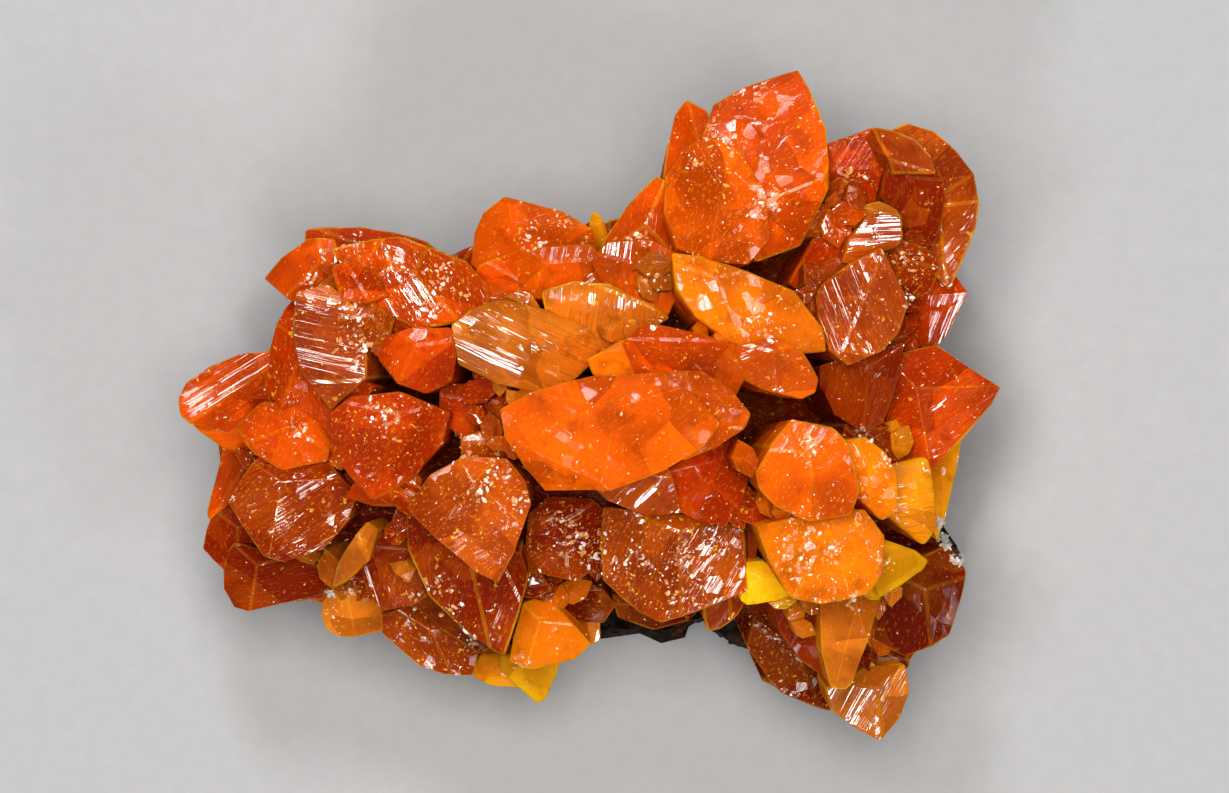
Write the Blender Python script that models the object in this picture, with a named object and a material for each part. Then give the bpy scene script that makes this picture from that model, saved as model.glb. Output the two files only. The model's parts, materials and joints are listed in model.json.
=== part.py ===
"""Orpiment specimen: one solid of intergrown orpiment crystals, and the slab of dark matrix that carries them.

The specimen lies on the broken back of its matrix with the crystals up. +Z points to the viewer, +X to the
right and +Y to the top of the photographed view. The origin is at the bottom centre. Lengths are in metres.
"""

import math
import random
from typing import NamedTuple

import bmesh
import bpy
from mathutils import Vector

MM = 0.001

# Driving dimensions
SPECIMEN_WIDTH = 50.0 * MM
MATRIX_THICKNESS = 4.7 * MM
SEAT_GAP = 0.3 * MM
GROUND_HEIGHT = 9.0 * MM

# The photographed view, in pixels of the 1229 x 793 frame: the specimen's extent there sets the scale.
PHOTO_LEFT, PHOTO_RIGHT = 177, 1000
PHOTO_TOP, PHOTO_BOTTOM = 70, 743
METRES_PER_PIXEL = SPECIMEN_WIDTH / (PHOTO_RIGHT - PHOTO_LEFT)
PHOTO_MIDDLE = ((PHOTO_LEFT + PHOTO_RIGHT) / 2, (PHOTO_TOP + PHOTO_BOTTOM) / 2)

# Where the crystals' sides converge: deep under the middle, shallow under the rim
ROOT_PULL_MIDDLE, ROOT_PULL_RIM = 0.30, 0.60
ROOT_DEPTH_MIDDLE, ROOT_DEPTH_RIM = -12.0 * MM, -3.0 * MM
ROOT_SINKS = (0.0, 2.0 * MM, 4.0 * MM, 7.0 * MM, 11.0 * MM, 16.0 * MM, 24.0 * MM)
OUTLINE_TOLERANCE = 0.04 * MM
RIM_RADIUS = 23.0 * MM
FLOOR_OF_CRYSTALS = MATRIX_THICKNESS + SEAT_GAP

BLOCK_SIDE = 160.0 * MM
CUT_TOLERANCE = 1e-7

ORPIMENT_COLOUR = (0.80, 0.19, 0.01, 1.0)
MATRIX_COLOUR = (0.035, 0.022, 0.016, 1.0)


class Crystal(NamedTuple):
    """A crystal as it is seen from above.

    outline is its edge in photo pixels, convex. peak is its highest point, photo pixels and height in mm.
    Each face is (direction it looks to in degrees, slope in degrees, distance in mm from the peak at which it starts).
    """

    name: str
    outline: tuple
    peak: tuple
    faces: tuple


CRYSTALS = (
    # Crown at the top right of the middle
    Crystal("crown",
            ((700, 142), (712, 106), (742, 88), (798, 70), (807, 86), (825, 128), (828, 190), (800, 246),
             (756, 262), (714, 216)),
            (800, 188, 20.5), ((100, 14, 0), (350, 48, 1.2), (300, 24, 0), (200, 20, 3.0))),
    Crystal("crown_fin",
            ((663, 180), (668, 143), (674, 116), (686, 100), (707, 111), (716, 150), (700, 190), (675, 196)),
            (700, 150, 17.5), ((165, 26, 0), (75, 15, 0), (330, 30, 0.5))),
    Crystal("crown_shoulder",
            ((666, 176), (684, 150), (712, 136), (738, 150), (766, 196), (770, 240), (748, 266), (706, 262),
             (676, 250), (664, 214)),
            (722, 186, 22.5), ((70, 16, 0), (300, 12, 0), (190, 24, 0))),
    Crystal("amber",
            ((671, 254), (704, 258), (792, 290), (822, 328), (826, 352), (790, 354), (730, 344),
             (694, 316), (676, 290)),
            (715, 278, 23.5), ((245, 16, 0), (318, 12, 0), (80, 20, 0))),
    Crystal("tongue",
            ((734, 346), (772, 337), (803, 354), (818, 380), (815, 393), (800, 400), (764, 390), (744, 380)),
            (772, 352, 24.0), ((318, 16, 0), (235, 14, 0), (90, 20, 0))),
    Crystal("red_triangle",
            ((788, 284), (830, 204), (852, 218), (850, 242), (842, 264), (820, 292), (802, 294)),
            (830, 236, 19.0), ((95, 16, 0), (275, 18, 0))),
    # Top middle
    Crystal("hood",
            ((471, 264), (475, 232), (483, 214), (504, 197), (534, 204), (562, 211), (592, 229), (600, 262),
             (560, 290), (500, 290)),
            (511, 222, 16.5), ((172, 30, 0), (55, 12, 0), (290, 14, 0))),
    Crystal("tooth",
            ((588, 232), (590, 215), (596, 210), (602, 217), (610, 236), (604, 252), (590, 250)),
            (596, 224, 14.5), ((90, 25, 0), (250, 20, 0), (0, 35, 0.2))),
    Crystal("fan_fin",
            ((602, 242), (629, 203), (656, 176), (668, 182), (676, 236), (668, 292), (628, 290), (606, 268)),
            (650, 215, 18.5), ((150, 28, 0), (350, 14, 0), (262, 18, 0.8))),
    Crystal("fan_base",
            ((590, 262), (606, 242), (650, 238), (676, 252), (676, 300), (668, 319), (606, 288)),
            (630, 262, 19.0), ((250, 12, 0), (80, 20, 0))),
    Crystal("hood_block",
            ((516, 262), (545, 246), (590, 244), (606, 262), (600, 286), (540, 300), (518, 300)),
            (560, 262, 18.0), ((280, 15, 0), (90, 18, 0), (190, 25, 1.0))),
    Crystal("hood_chip",
            ((478, 266), (520, 250), (530, 262), (516, 300), (490, 304), (470, 290)),
            (505, 272, 17.2), ((60, 20, 0), (240, 16, 0))),
    Crystal("pale_wedge",
            ((542, 292), (574, 281), (612, 285), (642, 300), (670, 319), (642, 336), (600, 354), (572, 338),
             (546, 314)),
            (612, 292, 21.0), ((262, 20, 0), (60, 30, 0))),
    Crystal("banded",
            ((451, 326), (470, 311), (500, 300), (545, 309), (585, 327), (601, 346), (592, 364), (566, 386),
             (545, 393), (500, 384), (458, 364)),
            (520, 326, 22.0), ((65, 24, 0), (247, 17, 0), (330, 28, 2.5), (190, 35, 3.6))),
    # Upper left
    Crystal("left_point",
            ((264, 279), (284, 256), (309, 238), (334, 238), (342, 262), (326, 288), (292, 302)),
            (322, 262, 19.0), ((160, 24, 0), (75, 16, 0.3), (290, 25, 0))),
    Crystal("back_bar",
            ((305, 229), (360, 226), (400, 233), (424, 240), (442, 254), (430, 280), (330, 280), (304, 250)),
            (370, 250, 16.0), ((90, 22, 0), (200, 12, 0), (330, 20, 1.0))),
    Crystal("left_crest",
            ((332, 250), (372, 240), (402, 237), (442, 252), (468, 262), (488, 284), (492, 302), (470, 320),
             (420, 330), (384, 312), (348, 278)),
            (400, 270, 21.5), ((70, 14, 0), (10, 22, 0.8), (265, 18, 0), (160, 18, 0.5))),
    Crystal("inner_red",
            ((333, 268), (350, 260), (372, 270), (390, 297), (368, 304), (342, 300)),
            (352, 278, 22.0), ((215, 14, 0), (30, 20, 0.4))),
    Crystal("knob",
            ((338, 302), (372, 298), (396, 318), (390, 340), (362, 350), (340, 330)),
            (366, 316, 21.6), ((100, 18, 0), (280, 24, 0), (0, 30, 0.4))),
    Crystal("striped_blade",
            ((297, 292), (330, 284), (350, 300), (368, 340), (368, 378), (333, 410), (301, 371), (294, 338)),
            (335, 300, 21.6), ((262, 10, 0), (268, 24, 3.0), (10, 30, 1.4))),
    Crystal("flank",
            ((283, 312), (297, 294), (320, 330), (334, 412), (333, 446), (300, 430), (264, 388), (270, 348)),
            (300, 345, 18.5), ((190, 35, 0), (270, 20, 0.5), (110, 30, 0.3))),
    # Left wing
    Crystal("left_wing",
            ((177, 398), (185, 382), (208, 366), (240, 353), (276, 350), (300, 382), (296, 420), (250, 440),
             (192, 425), (179, 415)),
            (262, 372, 15.5), ((125, 12, 0), (305, 18, 0))),
    Crystal("wing_front",
            ((236, 426), (262, 402), (300, 400), (333, 442), (328, 462), (282, 470), (256, 456)),
            (290, 428, 17.5), ((150, 18, 0), (262, 26, 0), (20, 20, 0.3))),
    Crystal("wing_keel",
            ((190, 423), (262, 420), (300, 440), (296, 466), (222, 449)),
            (262, 432, 15.0), ((265, 28, 0), (100, 15, 0))),
    Crystal("slab_left",
            ((221, 446), (262, 452), (262, 475), (242, 493), (207, 522), (204, 516)),
            (245, 462, 12.0), ((185, 18, 0), (280, 14, 0), (60, 20, 0))),
    # Lower left
    Crystal("gold_block",
            ((227, 500), (254, 462), (263, 454), (328, 462), (357, 492), (348, 520), (322, 550),
             (286, 562), (264, 556), (243, 526)),
            (282, 482, 16.5), ((205, 16, 0), (310, 14, 0), (75, 24, 0))),
    Crystal("lump_left",
            ((229, 499), (210, 512), (203, 532), (200, 550), (210, 561), (224, 574), (262, 562), (258, 535),
             (244, 512)),
            (236, 528, 11.5), ((200, 18, 0), (330, 12, 0), (80, 22, 0))),
    Crystal("corner_block",
            ((226, 552), (234, 543), (300, 558), (330, 572), (318, 596), (246, 613),
             (232, 609), (221, 590), (221, 574)),
            (256, 566, 12.5), ((105, 20, 0), (205, 38, 0), (285, 26, 0))),
    Crystal("corner_shelf",
            ((250, 575), (300, 556), (335, 560), (345, 580), (320, 600), (280, 604), (252, 600)),
            (300, 572, 11.8), ((270, 22, 0), (90, 12, 0))),
    # Middle left
    Crystal("midleft_upper",
            ((384, 338), (412, 327), (452, 328), (458, 356), (454, 380), (426, 394), (396, 382), (378, 358)),
            (420, 345, 21.5), ((285, 14, 0), (90, 20, 0), (190, 18, 0.2))),
    Crystal("midleft_lower",
            ((331, 414), (354, 396), (402, 392), (452, 412), (444, 442), (414, 478), (374, 500), (356, 482),
             (331, 450)),
            (392, 412, 21.0), ((245, 15, 0), (300, 22, 0.4), (85, 24, 0))),
    Crystal("midleft_rim",
            ((344, 498), (356, 480), (410, 474), (416, 498), (404, 506), (370, 506)),
            (385, 486, 16.5), ((268, 26, 0), (90, 20, 0))),
    Crystal("maroon_floor",
            ((356, 500), (408, 498), (412, 540), (385, 548), (362, 530)),
            (384, 512, 12.5), ((270, 12, 0), (90, 10, 0))),
    Crystal("midband",
            ((440, 384), (500, 384), (545, 394), (500, 440), (462, 440), (440, 420)),
            (480, 400, 18.5), ((265, 16, 0), (80, 14, 0), (0, 30, 1.2))),
    # Lower middle
    Crystal("spindle_cap",
            ((462, 436), (480, 430), (505, 440), (506, 460), (480, 470), (462, 462)),
            (480, 442, 20.5), ((270, 26, 0), (95, 18, 0), (350, 30, 0.4))),
    Crystal("spindle_head",
            ((408, 507), (432, 474), (466, 456), (506, 458), (527, 482), (532, 504), (516, 548), (498, 582),
             (478, 572)),
            (470, 488, 22.0), ((165, 20, 0), (285, 12, 0), (20, 20, 0.6), (80, 20, 0.6))),
    Crystal("spindle_blade",
            ((406, 510), (521, 552), (529, 575), (516, 622), (504, 656), (472, 636),
             (430, 596), (408, 548)),
            (470, 556, 20.0), ((217, 30, 0), (300, 14, 0), (10, 45, 1.6))),
    Crystal("box_striped",
            ((360, 566), (372, 556), (404, 552), (424, 560), (434, 592), (412, 607), (380, 612), (366, 592)),
            (398, 568, 14.0), ((200, 16, 0), (300, 14, 0), (90, 20, 0))),
    Crystal("sliver",
            ((332, 588), (338, 562), (366, 521), (378, 530), (368, 562), (346, 582)),
            (362, 544, 15.5), ((215, 22, 0), (20, 20, 0))),
    Crystal("small_red",
            ((366, 548), (380, 532), (408, 540), (412, 560), (380, 566)),
            (388, 548, 14.5), ((270, 18, 0), (80, 15, 0))),
    Crystal("knob_left",
            ((321, 602), (340, 574), (364, 586), (380, 612), (382, 632), (337, 638), (325, 630),
             (319, 615)),
            (346, 598, 11.0), ((225, 20, 0), (330, 16, 0), (90, 15, 0))),
    Crystal("bottom_slab",
            ((378, 616), (412, 604), (452, 628), (478, 652), (472, 677), (444, 676), (420, 668), (398, 650),
             (380, 634)),
            (430, 632, 10.5), ((235, 20, 0), (60, 16, 0), (330, 12, 0))),
    Crystal("brown_web",
            ((420, 560), (450, 590), (500, 640), (480, 655), (440, 630), (412, 606)),
            (445, 610, 13.0), ((230, 14, 0), (40, 20, 0))),
    Crystal("tip_upper",
            ((512, 640), (522, 604), (546, 596), (564, 614), (592, 645), (576, 660), (534, 670), (508, 662)),
            (540, 622, 13.5), ((300, 16, 0), (200, 18, 0), (60, 22, 0))),
    Crystal("tip_lower",
            ((500, 656), (562, 656), (554, 682), (546, 701), (537, 707), (516, 689), (498, 672)),
            (525, 668, 9.5), ((280, 16, 0), (90, 14, 0), (200, 12, 0))),
    Crystal("tip_side",
            ((469, 670), (480, 656), (510, 658), (522, 690), (492, 689), (475, 682)),
            (500, 668, 9.0), ((265, 16, 0), (90, 14, 0), (200, 16, 0))),
    Crystal("druse_middle",
            ((529, 512), (546, 496), (592, 498), (608, 514), (606, 560), (576, 582), (538, 574), (526, 548)),
            (566, 520, 15.5), ((255, 14, 0), (320, 20, 0), (100, 16, 0))),
    Crystal("druse_lower",
            ((526, 572), (560, 574), (604, 590), (616, 606), (604, 624), (576, 624), (524, 604)),
            (560, 590, 12.0), ((280, 14, 0), (80, 12, 0))),
    Crystal("white_stub",
            ((578, 626), (586, 611), (600, 608), (601, 642), (590, 648), (574, 638)),
            (592, 618, 10.0), ((100, 20, 0), (270, 20, 0.6))),
    # Centre
    Crystal("lens",
            ((501, 410), (534, 392), (590, 377), (660, 373), (698, 400), (719, 423), (702, 447), (666, 469),
             (610, 489), (546, 490), (527, 468), (505, 434)),
            (615, 408, 26.5), ((92, 26, 0), (222, 10, 0), (318, 14, 0), (240, 38, 3.5))),
    Crystal("lens_lobe",
            ((652, 372), (702, 370), (733, 392), (750, 414), (744, 428), (716, 448), (684, 460), (650, 430)),
            (690, 392, 24.5), ((45, 14, 0), (300, 14, 0), (150, 10, 0))),
    Crystal("centre_red",
            ((622, 342), (646, 322), (702, 334), (730, 345), (716, 362), (690, 374), (656, 378), (634, 372)),
            (665, 340, 24.0), ((280, 18, 0), (80, 22, 0))),
    Crystal("centre_block",
            ((586, 360), (622, 340), (640, 346), (644, 374), (620, 380), (592, 374)),
            (622, 350, 23.5), ((250, 14, 0), (110, 20, 0), (350, 20, 0.6))),
    Crystal("centre_wedge",
            ((702, 372), (730, 343), (744, 352), (746, 378), (734, 398), (712, 390)),
            (730, 356, 23.5), ((250, 16, 0), (20, 18, 0))),
    Crystal("under_lens",
            ((570, 466), (612, 462), (668, 468), (674, 484), (681, 513), (645, 515), (610, 501)),
            (640, 474, 22.0), ((262, 26, 0), (85, 15, 0))),
    Crystal("under_lens_right",
            ((664, 472), (690, 456), (732, 438), (748, 470), (740, 506), (724, 526), (700, 521), (680, 512)),
            (708, 462, 21.5), ((280, 20, 0), (20, 26, 0.4), (110, 14, 0))),
    Crystal("low_centre",
            ((604, 506), (702, 516), (744, 528), (748, 592), (660, 623), (640, 613),
             (604, 582), (600, 548)),
            (680, 532, 18.0), ((215, 14, 0), (318, 12, 0), (90, 20, 0))),
    Crystal("low_rim",
            ((612, 596), (700, 600), (704, 606), (690, 621), (655, 631), (618, 619)),
            (655, 606, 11.5), ((268, 26, 0), (90, 10, 0))),
    Crystal("centre_column",
            ((738, 470), (758, 470), (764, 520), (756, 560), (742, 562), (736, 520)),
            (748, 490, 17.0), ((270, 15, 0), (90, 20, 0), (0, 30, 0.4))),
    Crystal("small_box",
            ((704, 600), (716, 570), (742, 562), (748, 600), (740, 613), (722, 629), (709, 632), (704, 618)),
            (726, 584, 14.5), ((250, 18, 0), (320, 24, 0.2), (90, 16, 0))),
    # Upper right
    Crystal("fan_dark",
            ((824, 144), (873, 127), (890, 168), (882, 200), (850, 214), (832, 196), (826, 168)),
            (866, 168, 18.0), ((110, 16, 0), (260, 18, 0), (20, 20, 0.3))),
    Crystal("top_hat",
            ((871, 128), (892, 131), (914, 140), (931, 158), (936, 174), (892, 174)),
            (892, 160, 19.5), ((60, 22, 0), (265, 25, 0.2))),
    Crystal("dark_mass",
            ((884, 170), (938, 170), (945, 200), (938, 236), (926, 256), (900, 250), (880, 196)),
            (908, 178, 19.0), ((285, 16, 0), (200, 14, 0), (70, 20, 0))),
    Crystal("rim",
            ((890, 130), (908, 122), (934, 130), (960, 154), (973, 172), (979, 204), (977, 224), (966, 252),
             (950, 290), (930, 270)),
            (938, 196, 17.5), ((20, 20, 0), (75, 26, 0), (330, 24, 0.5), (270, 15, 1.0))),
    Crystal("white_face",
            ((840, 262), (848, 238), (865, 217), (877, 210), (900, 218), (902, 238), (894, 248), (850, 264)),
            (880, 246, 20.5), ((98, 20, 0), (280, 20, 0))),
    Crystal("gold_lip",
            ((850, 216), (862, 206), (880, 202), (896, 210), (902, 226), (870, 232), (850, 228)),
            (880, 212, 18.8), ((80, 20, 0), (250, 12, 0))),
    Crystal("brown_knob",
            ((884, 252), (904, 240), (926, 248), (940, 264), (930, 292), (906, 304), (892, 286)),
            (908, 262, 20.0), ((60, 22, 0), (280, 18, 0), (190, 20, 0.2))),
    Crystal("striated",
            ((816, 296), (822, 284), (852, 262), (880, 247), (894, 274), (907, 302), (898, 332), (880, 352),
             (848, 366), (828, 350), (816, 318)),
            (862, 300, 21.5), ((330, 12, 0), (165, 12, 0), (285, 24, 2.4))),
    Crystal("striated_foot",
            ((820, 366), (882, 348), (904, 343), (897, 382), (884, 422), (860, 432), (836, 416),
             (820, 388)),
            (868, 366, 19.5), ((235, 18, 0), (320, 26, 0), (80, 14, 0))),
    Crystal("bracket",
            ((904, 326), (914, 298), (932, 274), (956, 277), (967, 292), (946, 336), (932, 350),
             (910, 344)),
            (930, 296, 16.0), ((330, 18, 0), (60, 24, 0), (210, 16, 0))),
    Crystal("right_box",
            ((888, 400), (904, 352), (936, 345), (1000, 388), (990, 406), (932, 470),
             (900, 474), (884, 440)),
            (918, 388, 17.5), ((325, 12, 0), (55, 16, 0), (215, 20, 0.2))),
    Crystal("yellow_rim",
            ((998, 388), (990, 406), (962, 440), (950, 452), (940, 440), (960, 410)),
            (966, 416, 14.5), ((330, 22, 0), (200, 12, 0), (60, 15, 0))),
    Crystal("yellow_edge",
            ((962, 438), (955, 478), (948, 512), (938, 540), (928, 505), (926, 455), (940, 440)),
            (942, 468, 13.0), ((340, 20, 0), (230, 12, 0), (60, 15, 0))),
    # Lower right
    Crystal("gold_face",
            ((858, 472), (926, 457), (935, 498), (937, 528), (924, 545), (894, 522), (866, 500)),
            (900, 486, 18.5), ((265, 14, 0), (90, 18, 0), (345, 24, 0.8))),
    Crystal("gold_main",
            ((754, 472), (768, 446), (790, 418), (832, 428), (846, 442), (858, 488), (850, 514), (806, 520),
             (774, 506), (758, 488)),
            (806, 452, 25.0), ((95, 20, 0), (250, 12, 0), (330, 16, 0))),
    Crystal("gold_right",
            ((842, 440), (862, 436), (884, 452), (896, 476), (896, 512), (880, 520), (858, 500)),
            (868, 468, 22.0), ((20, 22, 0), (215, 20, 0), (300, 14, 0))),
    Crystal("gold_lower",
            ((756, 524), (800, 514), (862, 508), (884, 536), (882, 572), (868, 592), (820, 604), (788, 596),
             (768, 562)),
            (826, 528, 23.5), ((265, 14, 0), (200, 18, 0), (340, 20, 0), (90, 15, 0.3))),
    Crystal("yellow_plate",
            ((742, 562), (762, 560), (786, 578), (798, 592), (772, 601), (748, 605), (741, 600)),
            (758, 576, 17.0), ((240, 14, 0), (60, 18, 0), (300, 18, 0.3))),
    Crystal("spur",
            ((862, 560), (884, 540), (916, 551), (928, 560), (922, 570), (896, 587), (878, 598)),
            (886, 560, 20.5), ((75, 14, 0), (305, 28, 0), (180, 20, 0.2))),
    Crystal("fang",
            ((820, 598), (884, 566), (882, 592), (868, 640), (852, 682), (845, 689), (831, 687),
             (822, 652)),
            (856, 606, 17.5), ((215, 20, 0), (350, 30, 0), (270, 16, 0))),
    Crystal("fang_left",
            ((770, 602), (824, 600), (834, 640), (832, 684), (800, 660), (780, 632)),
            (806, 616, 14.5), ((235, 22, 0), (330, 14, 0), (90, 20, 0))),
    Crystal("right_slab",
            ((872, 640), (884, 598), (926, 556), (950, 544), (968, 570), (963, 600), (951, 636), (926, 650),
             (906, 658)),
            (926, 590, 13.0), ((330, 18, 0), (235, 14, 0), (70, 20, 0))),
    Crystal("gold_stub",
            ((868, 612), (886, 602), (896, 604), (892, 656), (876, 660), (866, 640)),
            (882, 616, 12.2), ((270, 10, 0), (180, 35, 0.4), (90, 20, 0))),
    Crystal("glass_tip",
            ((826, 690), (868, 668), (906, 664), (912, 692), (903, 718), (880, 743), (858, 732), (832, 712)),
            (878, 690, 12.0), ((240, 20, 0), (330, 26, 0), (95, 18, 0))),
    Crystal("brown_lump",
            ((747, 648), (754, 606), (800, 598), (834, 640), (838, 690), (834, 714), (785, 697), (769, 682)),
            (790, 640, 10.0), ((240, 14, 0), (330, 10, 0), (90, 12, 0))),
    Crystal("brown_ledge",
            ((762, 682), (772, 670), (828, 676), (836, 712), (812, 706), (790, 696)),
            (800, 684, 8.5), ((260, 20, 0), (90, 10, 0))),
    Crystal("web_right",
            ((856, 650), (905, 650), (912, 668), (900, 676), (862, 680)),
            (884, 660, 10.8), ((270, 14, 0), (90, 14, 0))),
)

# Edge of the massive orpiment that the crystals stand on, in photo pixels
GROUND_EDGE = (
    (248, 480), (236, 420), (296, 340), (350, 275), (430, 276), (500, 262), (600, 258), (676, 204), (740, 146),
    (796, 148), (880, 176), (934, 204), (930, 300), (918, 350), (942, 400), (920, 470), (930, 560), (920, 620), (870, 680),
    (800, 670), (752, 625), (690, 596), (630, 596), (570, 610), (520, 650), (440, 640), (370, 600), (300, 575),
    (256, 560),
)
GROUND_STEPS = ((0.0, 1.0), (0.14, 1.04), (0.36, 0.96), (0.56, 0.83), (0.80, 0.62), (1.0, 0.36))

# Edge of the matrix slab in photo pixels; its lower edge shows between the crystals
MATRIX_EDGE = (
    (290, 590), (276, 540), (270, 470), (300, 390), (360, 320), (450, 296), (560, 280), (660, 240), (760, 190),
    (850, 210), (920, 280), (930, 370), (925, 450), (944, 522), (962, 548), (969, 572), (940, 612), (900, 650),
    (850, 672), (800, 672), (768, 660), (748, 651), (732, 646), (718, 636), (704, 622), (690, 630), (686, 641),
    (662, 647), (640, 637), (598, 643), (560, 630), (500, 626), (420, 622), (340, 596), (318, 600),
)
MATRIX_STEPS = ((0.0, 0.955), (0.18, 0.985), (0.5, 1.0), (0.82, 0.985), (1.0, 0.955))
MATRIX_RAGGEDNESS = 0.35 * MM

# Small crystals round the sides, under the big ones
SKIRT_SPACING = 3.6 * MM
SKIRT_REACHES = (3.0 * MM, 2.4 * MM, 1.8 * MM, 1.2 * MM, 0.6 * MM)
SKIRT_HALF_WIDTH = (1.3 * MM, 2.4 * MM)
SKIRT_HEIGHT = (6.6 * MM, 10.5 * MM)
SKIRT_SEED = 11


def from_photo(u, v):
    """Place on the XY plane of a pixel of the photographed view."""
    return Vector(((u - PHOTO_MIDDLE[0]) * METRES_PER_PIXEL, (PHOTO_MIDDLE[1] - v) * METRES_PER_PIXEL))


def face_plane(peak, face):
    """(point, outward normal) of a crystal face."""
    looks_to, slope, start = math.radians(face[0]), math.radians(face[1]), face[2] * MM
    level = Vector((math.cos(looks_to), math.sin(looks_to), 0.0))
    normal = level * math.sin(slope) + Vector((0.0, 0.0, math.cos(slope)))
    return peak + level * start, normal


def height_on(planes, spot):
    """Height of the lowest of the planes over a place on the XY plane."""
    return min(
        point.z - ((spot.x - point.x) * normal.x + (spot.y - point.y) * normal.y) / normal.z
        for point, normal in planes
    )


def root_of(spot):
    """The point that a crystal's sides converge on: crystals fan out from under the middle."""
    share = min(spot.length / RIM_RADIUS, 1.0)
    pull = ROOT_PULL_MIDDLE + (ROOT_PULL_RIM - ROOT_PULL_MIDDLE) * share
    depth = ROOT_DEPTH_MIDDLE + (ROOT_DEPTH_RIM - ROOT_DEPTH_MIDDLE) * share
    return Vector((spot.x * pull, spot.y * pull, depth))


def side_planes(rim, root, inside):
    """(point, outward normal) of the planes through the root and each edge of the rim."""
    planes = []
    for here, following in zip(rim, rim[1:] + rim[:1]):
        outward = (following - here).cross(root - here).normalized()
        if outward.dot(inside - here) > 0:
            outward.negate()
        planes.append((here, outward))
    return planes


def chisel(solid, point, outward):
    """Cuts a convex solid along a plane, drops what lies outward of it and closes the cut."""
    everything = solid.verts[:] + solid.edges[:] + solid.faces[:]
    cut = bmesh.ops.bisect_plane(
        solid, geom=everything, dist=CUT_TOLERANCE, plane_co=point, plane_no=outward, clear_outer=True
    )
    rim = [item for item in cut["geom_cut"] if isinstance(item, bmesh.types.BMEdge)]
    if rim:
        bmesh.ops.contextual_create(solid, geom=rim)


def carve_crystal(corners, peak, faces, foot):
    """A crystal chiselled from a block: capped by its faces, its sides run from its outline to its root.

    The root sinks, and the sides stand steeper, until no side cuts off a corner of the outline.
    """
    solid = bmesh.new()
    bmesh.ops.create_cube(solid, size=BLOCK_SIDE)
    chisel(solid, Vector((0.0, 0.0, foot)), Vector((0.0, 0.0, -1.0)))
    planes = [face_plane(peak, face) for face in faces]
    for point, normal in planes:
        chisel(solid, point, normal)
    middle = sum(corners, Vector((0.0, 0.0))) / len(corners)
    rim = [Vector((spot.x, spot.y, height_on(planes, spot))) for spot in corners]
    top = Vector((middle.x, middle.y, height_on(planes, middle)))
    for sink in ROOT_SINKS:
        root = root_of(middle) - Vector((0.0, 0.0, sink))
        sides = side_planes(rim, root, root.lerp(top, 0.9))
        if all((corner - point).dot(outward) < OUTLINE_TOLERANCE for corner in rim for point, outward in sides):
            break
    for point, outward in sides:
        chisel(solid, point, outward)
    bmesh.ops.recalc_face_normals(solid, faces=solid.faces)
    return solid


def stepped_slab(edge, steps, low, height, wobble=0.0, seed=0):
    """A slab of the given edge whose side is stepped: each step is (share of the height, scale of the edge)."""
    chance = random.Random(seed)
    solid = bmesh.new()
    corners = [from_photo(u, v) for u, v in edge]
    centre = sum(corners, Vector((0.0, 0.0))) / len(corners)
    rings = []
    for share, scale in steps:
        ring = []
        for spot in corners:
            jitter = Vector((chance.uniform(-wobble, wobble), chance.uniform(-wobble, wobble)))
            flat = centre + (spot - centre) * scale + jitter
            ring.append(solid.verts.new((flat.x, flat.y, low + height * share)))
        rings.append(ring)
    solid.faces.new(rings[0])
    solid.faces.new(rings[-1])
    for lower, upper in zip(rings, rings[1:]):
        for left in range(len(corners)):
            right = (left + 1) % len(corners)
            solid.faces.new((lower[left], lower[right], upper[right], upper[left]))
    bmesh.ops.recalc_face_normals(solid, faces=solid.faces)
    return solid


def painted(name, colour, roughness):
    """A plain material of the piece's own colour."""
    material = bpy.data.materials.new(name)
    material.use_nodes = True
    shader = material.node_tree.nodes["Principled BSDF"]
    shader.inputs["Base Color"].default_value = colour
    shader.inputs["Roughness"].default_value = roughness
    shader.inputs["Metallic"].default_value = 0.0
    return material


def placed(name, solid, collection, material=None):
    """Turns a bmesh into an object of the collection."""
    mesh = bpy.data.meshes.new(name)
    solid.to_mesh(mesh)
    solid.free()
    made = bpy.data.objects.new(name, mesh)
    if material:
        mesh.materials.append(material)
    collection.objects.link(made)
    return made


def shells_of(solid):
    """The separate closed shells of a bmesh, as lists of faces, the largest first."""
    waiting = set(solid.faces)
    shells = []
    while waiting:
        front = [waiting.pop()]
        shell = []
        while front:
            face = front.pop()
            shell.append(face)
            for edge in face.edges:
                beside = [other for other in edge.link_faces if other in waiting]
                waiting.difference_update(beside)
                front.extend(beside)
        shells.append(shell)
    return sorted(shells, key=len, reverse=True)


def grown_together(ground, shapes):
    """The ground and the crystals as one solid, without the small pockets that they close off between them."""
    joined = ground.modifiers.new("grown_together", "BOOLEAN")
    joined.operation = "UNION"
    joined.operand_type = "COLLECTION"
    joined.collection = shapes
    graph = bpy.context.evaluated_depsgraph_get()
    fused = bpy.data.meshes.new_from_object(ground.evaluated_get(graph))
    solid = bmesh.new()
    solid.from_mesh(fused)
    for pocket in shells_of(solid)[1:]:
        bmesh.ops.delete(solid, geom=pocket, context="FACES")
    bmesh.ops.delete(solid, geom=[corner for corner in solid.verts if not corner.link_faces], context="VERTS")
    return solid


def photographed_crystals():
    """(name, bmesh) of each crystal that the photographed view shows."""
    for order, crystal in enumerate(CRYSTALS):
        corners = [from_photo(u, v) for u, v in crystal.outline]
        spot = from_photo(*crystal.peak[:2])
        peak = Vector((spot.x, spot.y, crystal.peak[2] * MM))
        foot = FLOOR_OF_CRYSTALS + (0.2 + 0.11 * (order % 7)) * MM
        yield crystal.name, carve_crystal(corners, peak, crystal.faces, foot)


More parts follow.
